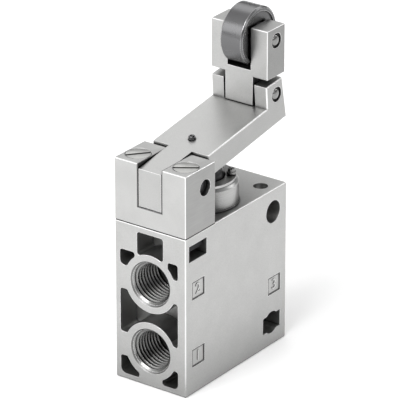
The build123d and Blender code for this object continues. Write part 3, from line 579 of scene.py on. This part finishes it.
def cylinder(name: str, sides: int, radius: float, depth: float, top: float = 0.0) -> Object:
    """Add a cylinder about the Z axis by itself.

    Args:
        name: the piece's name.
        sides: how many sides it has.
        radius: its radius.
        depth: its length.
        top: the height of its upper end.

    Returns:
        The new object, with its place in its mesh.
    """
    piece = start(bpy.ops.mesh.primitive_cylinder_add, name, vertices=sides, radius=radius * MM,
                  depth=depth * MM, location=(0.0, 0.0, (top - depth / 2) * MM))
    bpy.ops.object.transform_apply()
    return piece


def everything(place: Vector, direction: Vector) -> bool:
    """The test that any part of a piece passes."""
    return True


def end_face(end: int) -> Test:
    """The test for level faces that look up, for 1, or down, for -1."""
    return lambda place, normal: normal.z * end > LEVEL_FACE


def pick(piece: Object, kind: Pick, test: Test = everything) -> None:
    """Select parts of a piece by their place and direction, and stay in edit mode.

    Args:
        piece: the mesh object.
        kind: whether faces or edges are wanted.
        test: takes the part's middle in millimetres, and a face's normal or an edge's run.
    """
    select_only(piece)
    bpy.ops.object.mode_set(mode="EDIT")
    bpy.ops.mesh.select_mode(type=kind.value)
    bpy.ops.mesh.select_all(action="DESELECT")
    bpy.ops.object.mode_set(mode="OBJECT")
    mesh = piece.data
    if kind is Pick.FACES:
        for face in mesh.polygons:
            face.select = test(face.center / MM, face.normal)
    else:
        for edge in mesh.edges:
            first, second = (mesh.vertices[i].co for i in edge.vertices)
            edge.select = test((first + second) / (2 * MM), (second - first).normalized())
    bpy.ops.object.mode_set(mode="EDIT")


def extrude(distance: float) -> None:
    """Extrude what is selected along Z."""
    bpy.ops.mesh.extrude_region_move(TRANSFORM_OT_translate={"value": (0.0, 0.0, distance * MM)})


def widen(share: float) -> None:
    """Scale what is selected across Z about its middle."""
    bpy.ops.transform.resize(value=(share, share, 1.0))


def round_rim(piece: Object, width: float) -> None:
    """Round the rim of a piece's upper end, which is at height zero."""
    pick(piece, Pick.EDGES, lambda place, run: place.z > -RIM_DEPTH and abs(run.z) < LEVEL_RUN)
    bpy.ops.mesh.bevel(offset=width * MM, segments=3, affect="EDGES")


def apply_modifier(piece: Object, kind: str, **settings: object) -> None:
    """Add a modifier and apply it.

    Args:
        piece: the piece.
        kind: the modifier's type.
        settings: its own properties.
    """
    select_only(piece)
    modifier = piece.modifiers.new(kind.title(), kind)
    for name, value in settings.items():
        setattr(modifier, name, value)
    bpy.ops.object.modifier_apply(modifier=modifier.name)


def break_edges(piece: Object, width: float, segments: int) -> None:
    """Round every sharp edge of a piece."""
    apply_modifier(piece, "BEVEL", width=width * MM, segments=segments, limit_method="ANGLE",
                   angle_limit=math.radians(BROKEN_DEGREES))


def smooth(piece: Object, degrees: float) -> None:
    """Shade a piece smooth up to an angle."""
    select_only(piece)
    bpy.ops.object.shade_smooth_by_angle(angle=math.radians(degrees))


def clean(piece: Object, smooth_up_to: float = SMOOTH) -> None:
    """Merge doubles, point the faces outwards and shade them smooth.

    Args:
        piece: the piece.
        smooth_up_to: the angle up to which an edge is smooth, in degrees.
    """
    pick(piece, Pick.FACES)
    bpy.ops.mesh.remove_doubles(threshold=DOUBLE_GAP * MM)
    bpy.ops.mesh.normals_make_consistent(inside=False)
    smooth(piece, smooth_up_to)


def cut_slot(screw: Object, radius: float, width: float, depth: float) -> None:
    """Cut a driver's slot across the top of a screw at the origin and break its edges.

    Args:
        screw: the screw, its axis along Z.
        radius: the radius to cut through.
        width: the slot's width along Y.
        depth: the slot's depth.
    """
    cutter = start(bpy.ops.mesh.primitive_cube_add, "slot_cutter", size=1.0)
    cutter.scale = (3 * radius * MM, width * MM, 2 * depth * MM)
    bpy.ops.object.transform_apply()
    apply_modifier(screw, "BOOLEAN", operation="DIFFERENCE", object=cutter, solver="EXACT")
    bpy.data.objects.remove(cutter)
    break_edges(screw, SLOT_BREAK, 2)
    clean(screw, SMOOTH_SCREW)


def copy_piece(piece: Object, name: str) -> Object:
    """Copy a piece with its own mesh.

    Args:
        piece: the piece.
        name: the copy's name.

    Returns:
        The copy.
    """
    twin = piece.copy()
    twin.data = piece.data.copy()
    twin.name = twin.data.name = name
    bpy.context.scene.collection.objects.link(twin)
    return twin


def join(whole: Object, other: Object) -> Object:
    """Join a piece into another, which keeps its name.

    Args:
        whole: the piece that stays.
        other: the piece that goes into it.

    Returns:
        The piece that stays.
    """
    select_only(whole)
    other.select_set(True)
    bpy.ops.object.join()
    return whole


def at(place: Sequence[float]) -> Matrix:
    """The shift to a place in millimetres."""
    return Matrix.Translation(Vector(place) * MM)


def spun(degrees: float) -> Matrix:
    """The turn about Z by an angle."""
    return Matrix.Rotation(math.radians(degrees), 4, "Z")


def facing(direction: Vector, origin: Vector) -> Matrix:
    """The place at an origin in millimetres, with Z along a direction."""
    return at(origin) @ direction.to_track_quat("Z", "Y").to_matrix().to_4x4()


def set_down(piece: Object, place: Matrix) -> None:
    """Move a piece to its place and leave that place in its mesh.

    Args:
        piece: the piece, at the origin.
        place: where it goes, in metres.
    """
    select_only(piece)
    piece.matrix_world = place @ piece.matrix_world
    bpy.ops.object.transform_apply()


def coat(piece: Object, material: Material) -> None:
    """Give a piece one material all over."""
    piece.data.materials.clear()
    piece.data.materials.append(material)


def dress(material: Material, *nodes: str) -> None:
    """Give carried-over CAD nodes their material.

    Args:
        material: the material.
        nodes: the nodes that wear it.
    """
    for node in nodes:
        for holder in frame["nodes"][node].material_slots:
            holder.material = material
        LOG.info("%s wears %s", node, material.name)


def seat(piece: Object, place: Matrix, material: Material, body: str,
         replaced: Sequence[str] = ()) -> None:
    """Set a finished piece in its place, coat it, seat it on its body and report it.

    Args:
        piece: the finished mesh object, at the origin.
        place: where it goes, in metres.
        material: its material.
        body: the CAD body that it rides on.
        replaced: CAD nodes that it stands for.
    """
    set_down(piece, place)
    coat(piece, material)
    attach(piece, body)
    if replaced:
        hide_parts(*replaced)
    LOG.info("%s rides on %s, %d faces", piece.name, body, len(piece.data.polygons))


def node_middle(node: str) -> Vector:
    """The middle of a CAD node's box, in millimetres."""
    low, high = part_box(node)
    return (low + high) / (2 * MM)


def node_box(node: str) -> tuple[Vector, Vector]:
    """The low and high corners of a CAD node's box, in millimetres."""
    low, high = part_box(node)
    return low / MM, high / MM


@dataclass
class HelicalThread:
    """A screw thread's ridge, cut back at its start by a chamfer where it has a cone's radius."""

    name: str
    root_radius: float
    crest_radius: float
    pitch: float
    turns: int
    cone_radius: float = 0.0
    steps: int = 32
    crest_share: float = 0.14
    root_share: float = 0.96

    def build(self) -> Object:
        """Sweep the thread's profile along Z from the origin downwards.

        Returns:
            A closed mesh, with its first turn at the top.
        """
        ridge = start(bpy.ops.mesh.primitive_plane_add, self.name, size=1.0)
        for point, (radius, rise) in zip(ridge.data.vertices, self._profile(0.0)):
            point.co = (radius * MM, 0.0, rise * MM)
        pick(ridge, Pick.FACES)
        bpy.ops.mesh.delete(type="ONLY_FACE")
        apply_modifier(ridge, "SCREW", axis="Z", angle=math.tau, screw_offset=-self.pitch * MM,
                       iterations=self.turns, steps=self.steps, render_steps=self.steps,
                       use_merge_vertices=True)
        if self.cone_radius:
            self._cut_mouth(ridge)
        pick(ridge, Pick.EDGES)
        bpy.ops.mesh.fill_holes(sides=4)
        clean(ridge, SMOOTH_THREAD)
        return ridge

    def _profile(self, middle: float) -> list[tuple[float, float]]:
        """Find the ridge's four corners about a height.

        Args:
            middle: the height.

        Returns:
            Radius and height of each corner, in the order of a plane's points: root and crest
            below, then root and crest above.
        """
        root, crest = (share * self.pitch / 2 for share in (self.root_share, self.crest_share))
        return [(self.root_radius, middle - root), (self.crest_radius, middle - crest),
                (self.root_radius, middle + root), (self.crest_radius, middle + crest)]

    def _cut_mouth(self, ridge: Object) -> None:
        """Cut the ridge's first turns back to a 45 degree cone at the thread's mouth.

        The ridge starts where it is wholly above the cone, so it grows out of the wall from nothing.

        Args:
            ridge: the swept ridge, whose points come in fours.
        """
        lift = self.root_share * self.pitch / 2
        points = list(ridge.data.vertices)
        for step in range(len(points) // 4):
            angle = math.tau * step / self.steps
            low_root, low_crest, high_root, high_crest = self._profile(
                lift - self.pitch * step / self.steps)
            low_crest = self._below_cone(low_root, low_crest)
            high_crest = self._below_cone(low_crest, high_crest)
            low_root, high_root = (self._below_cone(root, root) for root in (low_root, high_root))
            for point, (radius, rise) in zip(points[4 * step:4 * step + 4],
                                             (low_root, low_crest, high_root, high_crest)):
                point.co = Vector((radius * math.cos(angle), radius * math.sin(angle), rise)) * MM

    def _below_cone(self, near: tuple[float, float], far: tuple[float, float]) -> tuple[float, float]:
        """Find where a line leaves the metal below the cone.

        Args:
            near: where the line starts, as radius and height.
            far: where it ends.

        Returns:
            The point where it leaves, or far if it never does.
        """
        near_depth = near[0] - self.cone_radius - near[1]
        far_depth = far[0] - self.cone_radius - far[1]
        if far_depth >= 0:
            return far
        if near_depth <= 0:
            return near[0], min(near[1], near[0] - self.cone_radius)
        share = near_depth / (near_depth - far_depth)
        return near[0] + (far[0] - near[0]) * share, near[1] + (far[1] - near[1]) * share


@dataclass
class CrossPin:
    """A steel pin across the valve with a domed head at both ends, in place of a CAD pin."""

    node: str
    body: str
    finish: Finish
    head_radius: float = 1.8
    dome_height: float = 1.1
    dome_steps: int = 8
    sides: int = 48

    def build(self) -> None:
        """Model the pin along Z, dome its ends and lay it across the valve."""
        low, high = node_box(self.node)
        radius = (high.z - low.z) / 2
        length = high.x - low.x
        pin = cylinder(self.node + "_turned", self.sides, radius, length, length / 2)
        for end in (-1, 1):
            pick(pin, Pick.FACES, end_face(end))
            bpy.ops.mesh.extrude_region_move()
            widen(self.head_radius / radius)
            for step in range(self.dome_steps):
                # The last ring stops half a step short of the pole, so a small flat is left
                before, turn = (math.pi / 2 * (step + rise) / (self.dome_steps + 0.5) for rise in (0, 1))
                extrude(self.dome_height * (math.sin(turn) - math.sin(before)) * end)
                widen(math.cos(turn) / math.cos(before))
        clean(pin)
        middle = node_middle(self.node)
        material = self.finish.material(middle, Axis.X, "_" + self.node)
        seat(pin, facing(ACROSS, middle), material, self.body, [self.node])


@dataclass
class ValveBody:
    """The cast body with the threads in its ports and the numbers beside them."""

    node: str = "valve_body"
    thread_pitch: float = 1.337
    thread_height: float = 0.856
    thread_turns: int = 9
    thread_steps: int = 56
    thread_sink: float = 0.03
    mark_depth: float = 0.2
    mark_inset: float = 6.1
    digit_height: float = 3.3
    digit_rise: float = 0.17
    digit_bevel: float = 0.02
    font_size_share: float = 1.38
    square_length: float = 6.08
    square_height: float = 5.58
    line_width: float = 0.3
    line_height: float = 0.19

    def build(self) -> None:
        """Dress the body and add the ports' threads and numbers."""
        dress(DIE_CAST.material(), self.node)
        mounts = {mount["name"]: mount for mount in frame["record"]["mounts"]}
        for number, name in ((1, "port_supply"), (2, "port_outlet"), (3, "port_exhaust")):
            self._thread(name, mounts[name])
            self._number(number, mounts[name])

    def _thread(self, name: str, mount: dict) -> None:
        """Cut one port's pipe thread, from its chamfered mouth inwards.

        Args:
            name: the port's name.
            mount: the port's mount in the record.
        """
        outward = Vector(mount["axis"])
        radius = mount["dims"]["r_mm"]
        mouth = Vector(mount["pos_m"]) / MM + outward * (mount["dims"]["length_mm"] / 2)
        thread = HelicalThread(name + "_thread", radius + self.thread_sink,
                               radius - self.thread_height, self.thread_pitch, self.thread_turns,
                               cone_radius=radius, steps=self.thread_steps).build()
        material = TAPPED.material(mouth, Axis.Y, "_" + name)
        seat(thread, facing(outward, mouth), material, "housing")

    def _number(self, number: int, mount: dict) -> None:
        """Raise a plain number in the shallow square beside a port, and line the square's walls with
        painted shade.

        Args:
            number: the port's number.
            mount: the port's mount in the record.
        """
        low, high = node_box(self.node)
        at_front = mount["axis"][1] < 0
        along = low.y + self.mark_inset if at_front else high.y - self.mark_inset
        middle = Vector((high.x - self.mark_depth, along, mount["pos_m"][2] / MM))
        half_rise = Vector((self.digit_rise / 2, 0.0, 0.0))
        seat(self._digit(number), at(middle + half_rise) @ ON_RIGHT_SIDE, DIE_CAST.material(),
             "housing")
        seat(self._outline(number), at(middle) @ ON_RIGHT_SIDE, PAINTED_SHADE_LINE.material(),
             "housing")

    def _digit(self, number: int) -> Object:
        """Model a digit flat about the origin.

        Args:
            number: the digit.

        Returns:
            Its mesh.
        """
        deselect()
        bpy.ops.object.text_add()
        text = bpy.context.object.data
        text.body = str(number)
        text.size = self.digit_height * self.font_size_share * MM
        text.extrude = self.digit_rise / 2 * MM
        text.bevel_depth = self.digit_bevel * MM
        text.align_x = "CENTER"
        text.align_y = "CENTER"
        bpy.ops.object.convert(target="MESH")
        digit = bpy.context.object
        digit.name = digit.data.name = f"port_number_{number}"
        clean(digit)
        return digit

    def _outline(self, number: int) -> Object:
        """Model the dark line of painted shade along the four walls of a square, flat about the origin.

        Args:
            number: the number in the square.

        Returns:
            Its mesh.
        """
        line = start(bpy.ops.mesh.primitive_plane_add, f"port_square_{number}", size=MM)
        line.scale = (self.square_length, self.square_height, 1.0)
        bpy.ops.object.transform_apply()
        pick(line, Pick.FACES)
        bpy.ops.mesh.inset(thickness=self.line_width * MM)
        bpy.ops.mesh.delete(type="FACE")
        pick(line, Pick.FACES)
        extrude(self.line_height)
        clean(line)
        return line


@dataclass
class LeverBracket:
    """The slotted bracket with its screws, nuts and the lever's pin."""

    head_radius: float = 3.84
    head_height: float = 1.84
    head_drop: float = 0.01
    head_rim: float = 0.26
    cad_head_radius: float = 3.849
    sides: int = 64
    slot_width: float = 0.95
    slot_depth: float = 0.45
    left_turn: float = 50.0
    right_turn: float = 34.0
    shank_radius: float = 2.0
    thread_depth: float = 0.3
    thread_sink: float = 0.02
    thread_pitch: float = 0.7
    thread_turns: int = 8
    thread_end: float = 0.5
    pin_head: float = 2.2
    pin_dome: float = 0.4

    def build(self) -> None:
        """Dress the bracket and its nuts and replace its screws and pin."""
        dress(MILLED.material(node_middle("lever_bracket"), Axis.Y), "lever_bracket")
        dress(BLACK_NUT.material(), "bracket_nuts")
        low, high = node_box("bracket_screws")
        top = high.z - self.head_drop
        screw_x = high.x - self.cad_head_radius
        master = self._screw("bracket_screw_left", top - low.z)
        twin = copy_piece(master, "bracket_screw_right")
        for screw, x, turn in ((master, -screw_x, self.left_turn), (twin, screw_x, self.right_turn)):
            middle = Vector((x, (low.y + high.y) / 2, top))
            material = ZINC.material(middle, Axis.Z, "_" + screw.name)
            seat(screw, at(middle) @ spun(turn), material, "housing", ["bracket_screws"])
        CrossPin("lever_pin", "housing", PAINTED_SHADE_STEEL, self.pin_head, self.pin_dome).build()

    def _screw(self, name: str, length: float) -> Object:
        """Model a slotted countersunk screw, its top at the origin.

        Args:
            name: the piece's name.
            length: its length over all.

        Returns:
            The screw, with its axis along Z.
        """
        screw = cylinder(name, self.sides, self.head_radius, self.head_height)
        pick(screw, Pick.FACES, end_face(-1))
        widen(self.shank_radius / self.head_radius)
        extrude(self.head_height - length)
        round_rim(screw, self.head_rim)
        cut_slot(screw, self.head_radius, self.slot_width, self.slot_depth)
        thread = HelicalThread("screw_thread", self.shank_radius - self.thread_depth,
                               self.shank_radius - self.thread_sink, self.thread_pitch,
                               self.thread_turns).build()
        rise = self.thread_pitch * self.thread_turns + self.thread_end
        set_down(thread, at((0.0, 0.0, rise - length)))
        return join(screw, thread)


@dataclass
class Lever:
    """The lever with the pad that pushes the plunger and the screw that holds the pad."""

    slope_degrees: float = 8.5
    screw_length: float = 6.02
    screw_radius: float = 1.1
    sides: int = 40
    head_radius: float = 2.0
    head_height: float = 1.2
    thread_depth: float = 0.14
    thread_sink: float = 0.02
    thread_pitch: float = 0.4
    thread_turns: int = 5
    tip_bevel: float = 0.22
    slot_width: float = 0.5
    slot_depth: float = 0.6

    def build(self) -> None:
        """Dress the lever and its pad and replace the pad's screw."""
        dress(LEVER_CAST.material(), "lever")
        dress(HARDENED.material(node_middle("thrust_pad"), Axis.X), "thrust_pad")
        slope = math.radians(self.slope_degrees)
        upwards = Vector((0.0, -math.sin(slope), math.cos(slope)))
        low, high = node_box("thrust_pad_screw")
        head = Vector((0.0, high.y - self.head_radius * math.cos(slope),
                       low.z + self.head_radius * math.sin(slope)))
        tip = head + upwards * self.screw_length
        seat(self._screw(), facing(upwards, tip), SCREW_TIP.material(tip, Axis.Z), "lever",
             ["thrust_pad_screw"])

    def _screw(self) -> Object:
        """Model the pad's screw with its slotted tip at the origin and its head below.

        Returns:
            The screw, with its axis along Z.
        """
        core = self.screw_radius - self.thread_depth
        screw = cylinder("pad_screw_threaded", self.sides, core, self.screw_length - self.head_height)
        pick(screw, Pick.FACES, end_face(-1))
        bpy.ops.mesh.extrude_region_move()
        widen(self.head_radius / core)
        extrude(-self.head_height)
        round_rim(screw, self.tip_bevel)
        cut_slot(screw, self.screw_radius, self.slot_width, self.slot_depth)
        thread = HelicalThread("pad_screw_thread", core - self.thread_sink, self.screw_radius,
                               self.thread_pitch, self.thread_turns).build()
        set_down(thread, at((0.0, 0.0, -(self.tip_bevel + self.thread_pitch))))
        return join(screw, thread)


@dataclass
class RollerCarrier:
    """The carrier that folds one way, with its pins, spring, roller and bush."""

    def build(self) -> None:
        """Dress the carrier and the roller and replace the two pins."""
        dress(CARRIER_CAST.material(), "roller_carrier")
        dress(SPRING_WIRE.material(), "carrier_spring")
        dress(BURNISHED.material(node_middle("roller"), Axis.X), "roller")
        dress(BRONZE.material(), "roller_bush")
        CrossPin("carrier_pin", "lever", GROUND).build()
        CrossPin("roller_pin", "carrier", GROUND).build()


@dataclass
class CollarStack:
    """The collar on the body's top with its wiper, plate, screws and plunger."""

    screw_circle: float = 8.2
    screw_angle: float = 37.0
    screw_count: int = 3
    screw_length: float = 6.3
    screw_radius: float = 0.8
    sides: int = 40
    flange_radius: float = 1.38
    flange_height: float = 1.0
    cap_radius: float = 1.0
    cap_height: float = 0.9
    head_round: float = 0.22
    head_segments: int = 4
    slot_width: float = 0.35
    slot_depth: float = 0.4

    def build(self) -> None:
        """Dress the turned pieces about the plunger's axis and replace the small screws."""
        middle = node_middle("collar")
        dress(TURNED_ALU.material(middle), "collar")
        dress(STAINLESS.material(middle), "wiper_plate")
        dress(RUBBER.material(), "plunger_wiper")
        dress(ACETAL.material(), "plunger")
        top = node_box("wiper_plate_screws")[1].z
        master = self._screw("wiper_plate_screw_1")
        screws = [master] + [copy_piece(master, f"wiper_plate_screw_{number}")
                             for number in range(2, self.screw_count + 1)]
        for step, screw in enumerate(screws):
            degrees = self.screw_angle + step * 360 / self.screw_count
            turn = math.radians(degrees)
            place = Vector((middle.x + self.screw_circle * math.cos(turn),
                            middle.y + self.screw_circle * math.sin(turn), top))
            material = ZINC_CAP.material(place, Axis.Z, "_" + screw.name)
            seat(screw, at(place) @ spun(degrees + 90), material, "housing",
                 ["wiper_plate_screws"])

    def _screw(self, name: str) -> Object:
        """Model a flanged screw with a slotted cap, its top at the origin.

        Args:
            name: the piece's name.

        Returns:
            The screw, with its axis along Z.
        """
        screw = cylinder(name, self.sides, self.flange_radius, self.flange_height, -self.cap_height)
        shank = self.flange_height + self.cap_height - self.screw_length
        for end, radius, rise in ((1, self.cap_radius, self.cap_height),
                                  (-1, self.screw_radius, shank)):
            pick(screw, Pick.FACES, end_face(end))
            bpy.ops.mesh.inset(thickness=(self.flange_radius - radius) * MM)
            extrude(rise)
        break_edges(screw, self.head_round, self.head_segments)
        cut_slot(screw, self.cap_radius, self.slot_width, self.slot_depth)
        return screw


@dataclass
class InnerParts:
    """The sleeves, seals, springs and spool in the bore, which show only through the ports."""

    sleeves: tuple[str, ...] = ("supply_cage", "exhaust_cage", "outlet_cage", "spool_guide", "spool_plug")
    seals: tuple[str, ...] = ("spool_seals", "cage_seals")
    springs: tuple[str, ...] = ("plunger_spring", "return_spring")

    def build(self) -> None:
        """Dress every inner piece."""
        middle = node_middle("supply_cage")
        dress(SLEEVE.material(middle), *self.sleeves)
        dress(RUBBER.material(), *self.seals)
        dress(SPRING_WIRE.material(), *self.springs)
        dress(SPOOL.material(middle), "spool")


def hang(data: Union[Camera, Light], place: Vector, way: Vector) -> Object:
    """Put a camera or lamp in its place and turn it.

    Args:
        data: the camera or light.
        place: where it goes, in metres.
        way: the direction that it looks in.

    Returns:
        Its object.
    """
    holder = bpy.data.objects.new(data.name, data)
    bpy.context.scene.collection.objects.link(holder)
    holder.location = place
    holder.rotation_euler = way.to_track_quat("-Z", "Y").to_euler()
    return holder


@dataclass(frozen=True)
class SoftBox:
    """A soft lamp: a square area light that looks at the valve, placed in metres."""

    name: str
    place: Triple
    size: float
    watts: float

    def build(self, target: Vector) -> None:
        """Hang the lamp and aim it.

        Args:
            target: the point that it looks at, in metres.
        """
        data = bpy.data.lights.new(self.name, "AREA")
        data.shape = "SQUARE"
        data.size = self.size
        data.energy = self.watts
        place = Vector(self.place)
        hang(data, place, target - place)


@dataclass
class Studio:
    """The pale floor, the plain soft light and the camera at the photograph's angle.

    The camera's distance and aim are in millimetres, and the floor and the lamps in metres. The
    floor lies a hair below the valve, so that the two don't share a plane.
    """

    azimuth: float = 35.94
    elevation: float = 24.28
    distance: float = 1082.3
    aim: Triple = (0.0, 0.0, 50.0)
    aim_right: float = -0.491
    lens: float = 338.5
    sensor: float = 36.0
    clip_start: float = 0.01
    clip_end: float = 20.0
    floor_radius: float = 2.4
    floor_sides: int = 96
    floor_drop: float = 0.00002
    wall_height: float = 0.35
    wall_steps: int = 8
    floor_colour: str = "F0F0F0"
    floor_glow: float = 0.18
    horizon: str = "7A7A7A"
    zenith: str = "E0E0E0"
    target: Triple = (0.0, 0.0, 0.05)
    lamps: tuple[SoftBox, ...] = (SoftBox("key_lamp", (0.0, -1.4, 1.6), 1.1, 27.0),
                                  SoftBox("back_lamp", (-0.9, 1.1, 1.5), 1.2, 5.0),
                                  SoftBox("low_lamp", (-1.02, -1.41, 0.82), 1.0, 6.0),
                                  SoftBox("rim_lamp", (0.8, 1.44, 1.05), 0.5, 3.0),
                                  SoftBox("side_lamp", (1.6, -0.42, 1.1), 0.45, 2.2))

    def build(self) -> None:
        """Set up the floor, the lamps, the world, the camera and the view."""
        self._floor()
        self._world()
        for lamp in self.lamps:
            lamp.build(Vector(self.target))
        self._camera()
        bpy.context.scene.view_settings.view_transform = "Standard"

    def _floor(self) -> None:
        """Model a floor that curves up into a low wall all round."""
        floor = start(bpy.ops.mesh.primitive_circle_add, "floor", vertices=self.floor_sides,
                      radius=self.floor_radius, fill_type="NOTHING",
                      location=(0, 0, -self.floor_drop))
        pick(floor, Pick.EDGES)
        for step in range(self.wall_steps):
            before, turn = (math.pi / 2 * (step + rise) / self.wall_steps for rise in (0, 1))
            inner, outer = (self.floor_radius + self.wall_height * math.sin(angle)
                            for angle in (before, turn))
            extrude(self.wall_height * (math.cos(before) - math.cos(turn)) / MM)
            widen(outer / inner)
        reach = self.floor_radius / MM + 1
        pick(floor, Pick.EDGES, lambda place, run: place.length < reach)
        bpy.ops.mesh.edge_face_add()
        smooth(floor, SMOOTH)
        coat(floor, self._paper())

    def _paper(self) -> Material:
        """Make white studio paper, which camera and metal see as white and which keeps the shadow.

        Returns:
            The floor's material.
        """
        made = bpy.data.materials.new("studio_paper")
        tree = empty_tree(made)
        rays = add_node(tree, "LightPath").outputs
        glow: Value = rays["Is Camera Ray"]
        for operation, other in (("MAXIMUM", rays["Is Glossy Ray"]),
                                 ("MAXIMUM", rays["Is Transmission Ray"]),
                                 ("MULTIPLY", self.floor_glow)):
            glow = add_node(tree, "Math", {0: glow, 1: other}, operation=operation)
        paper = add_node(tree, "BsdfDiffuse", {"Color": linear(self.floor_colour)})
        light = add_node(tree, "Emission", {"Color": linear("FFFFFF"), "Strength": glow})
        both = add_node(tree, "AddShader", {0: paper, 1: light})
        add_node(tree, "OutputMaterial", {"Surface": both})
        return made

    def _world(self) -> None:
        """Light the room softly, brighter overhead than towards the walls."""
        world = bpy.data.worlds.new("studio_room")
        tree = empty_tree(world)
        way = add_node(tree, "TexCoord").outputs["Generated"]
        rise = add_node(tree, "SeparateXYZ", {"Vector": way}).outputs["Z"]
        overhead = add_node(tree, "MapRange", {"Value": rise, **OVERHEAD})
        shade = add_node(tree, "Mix", {"Factor": overhead, FIRST_COLOUR: linear(self.horizon),
                                       SECOND_COLOUR: linear(self.zenith)}, data_type="RGBA")
        room = add_node(tree, "Background", {"Color": shade})
        add_node(tree, "OutputWorld", {"Surface": room})
        bpy.context.scene.world = world

    def _camera(self) -> None:
        """Place the camera where the photograph was taken from."""
        turn, rise = math.radians(self.azimuth), math.radians(self.elevation)
        forward = Vector((-math.sin(turn) * math.cos(rise), math.cos(turn) * math.cos(rise),
                          -math.sin(rise)))
        right = Vector((math.cos(turn), math.sin(turn), 0.0))
        data = bpy.data.cameras.new("camera")
        data.lens = self.lens
        data.sensor_width = self.sensor
        data.clip_start = self.clip_start
        data.clip_end = self.clip_end
        place = (Vector(self.aim) + right * self.aim_right - forward * self.distance) * MM
        bpy.context.scene.camera = hang(data, place, forward)


def main() -> None:
    """Build the valve's looks, sub-assembly by sub-assembly, and then the studio."""
    logging.basicConfig(level=logging.INFO, format="%(name)s: %(message)s")
    for assembly in (ValveBody(), LeverBracket(), Lever(), RollerCarrier(), CollarStack(),
                     InnerParts()):
        LOG.info("building %s", type(assembly).__name__)
        assembly.build()
    Studio().build()


if __name__ == "__main__":
    main()
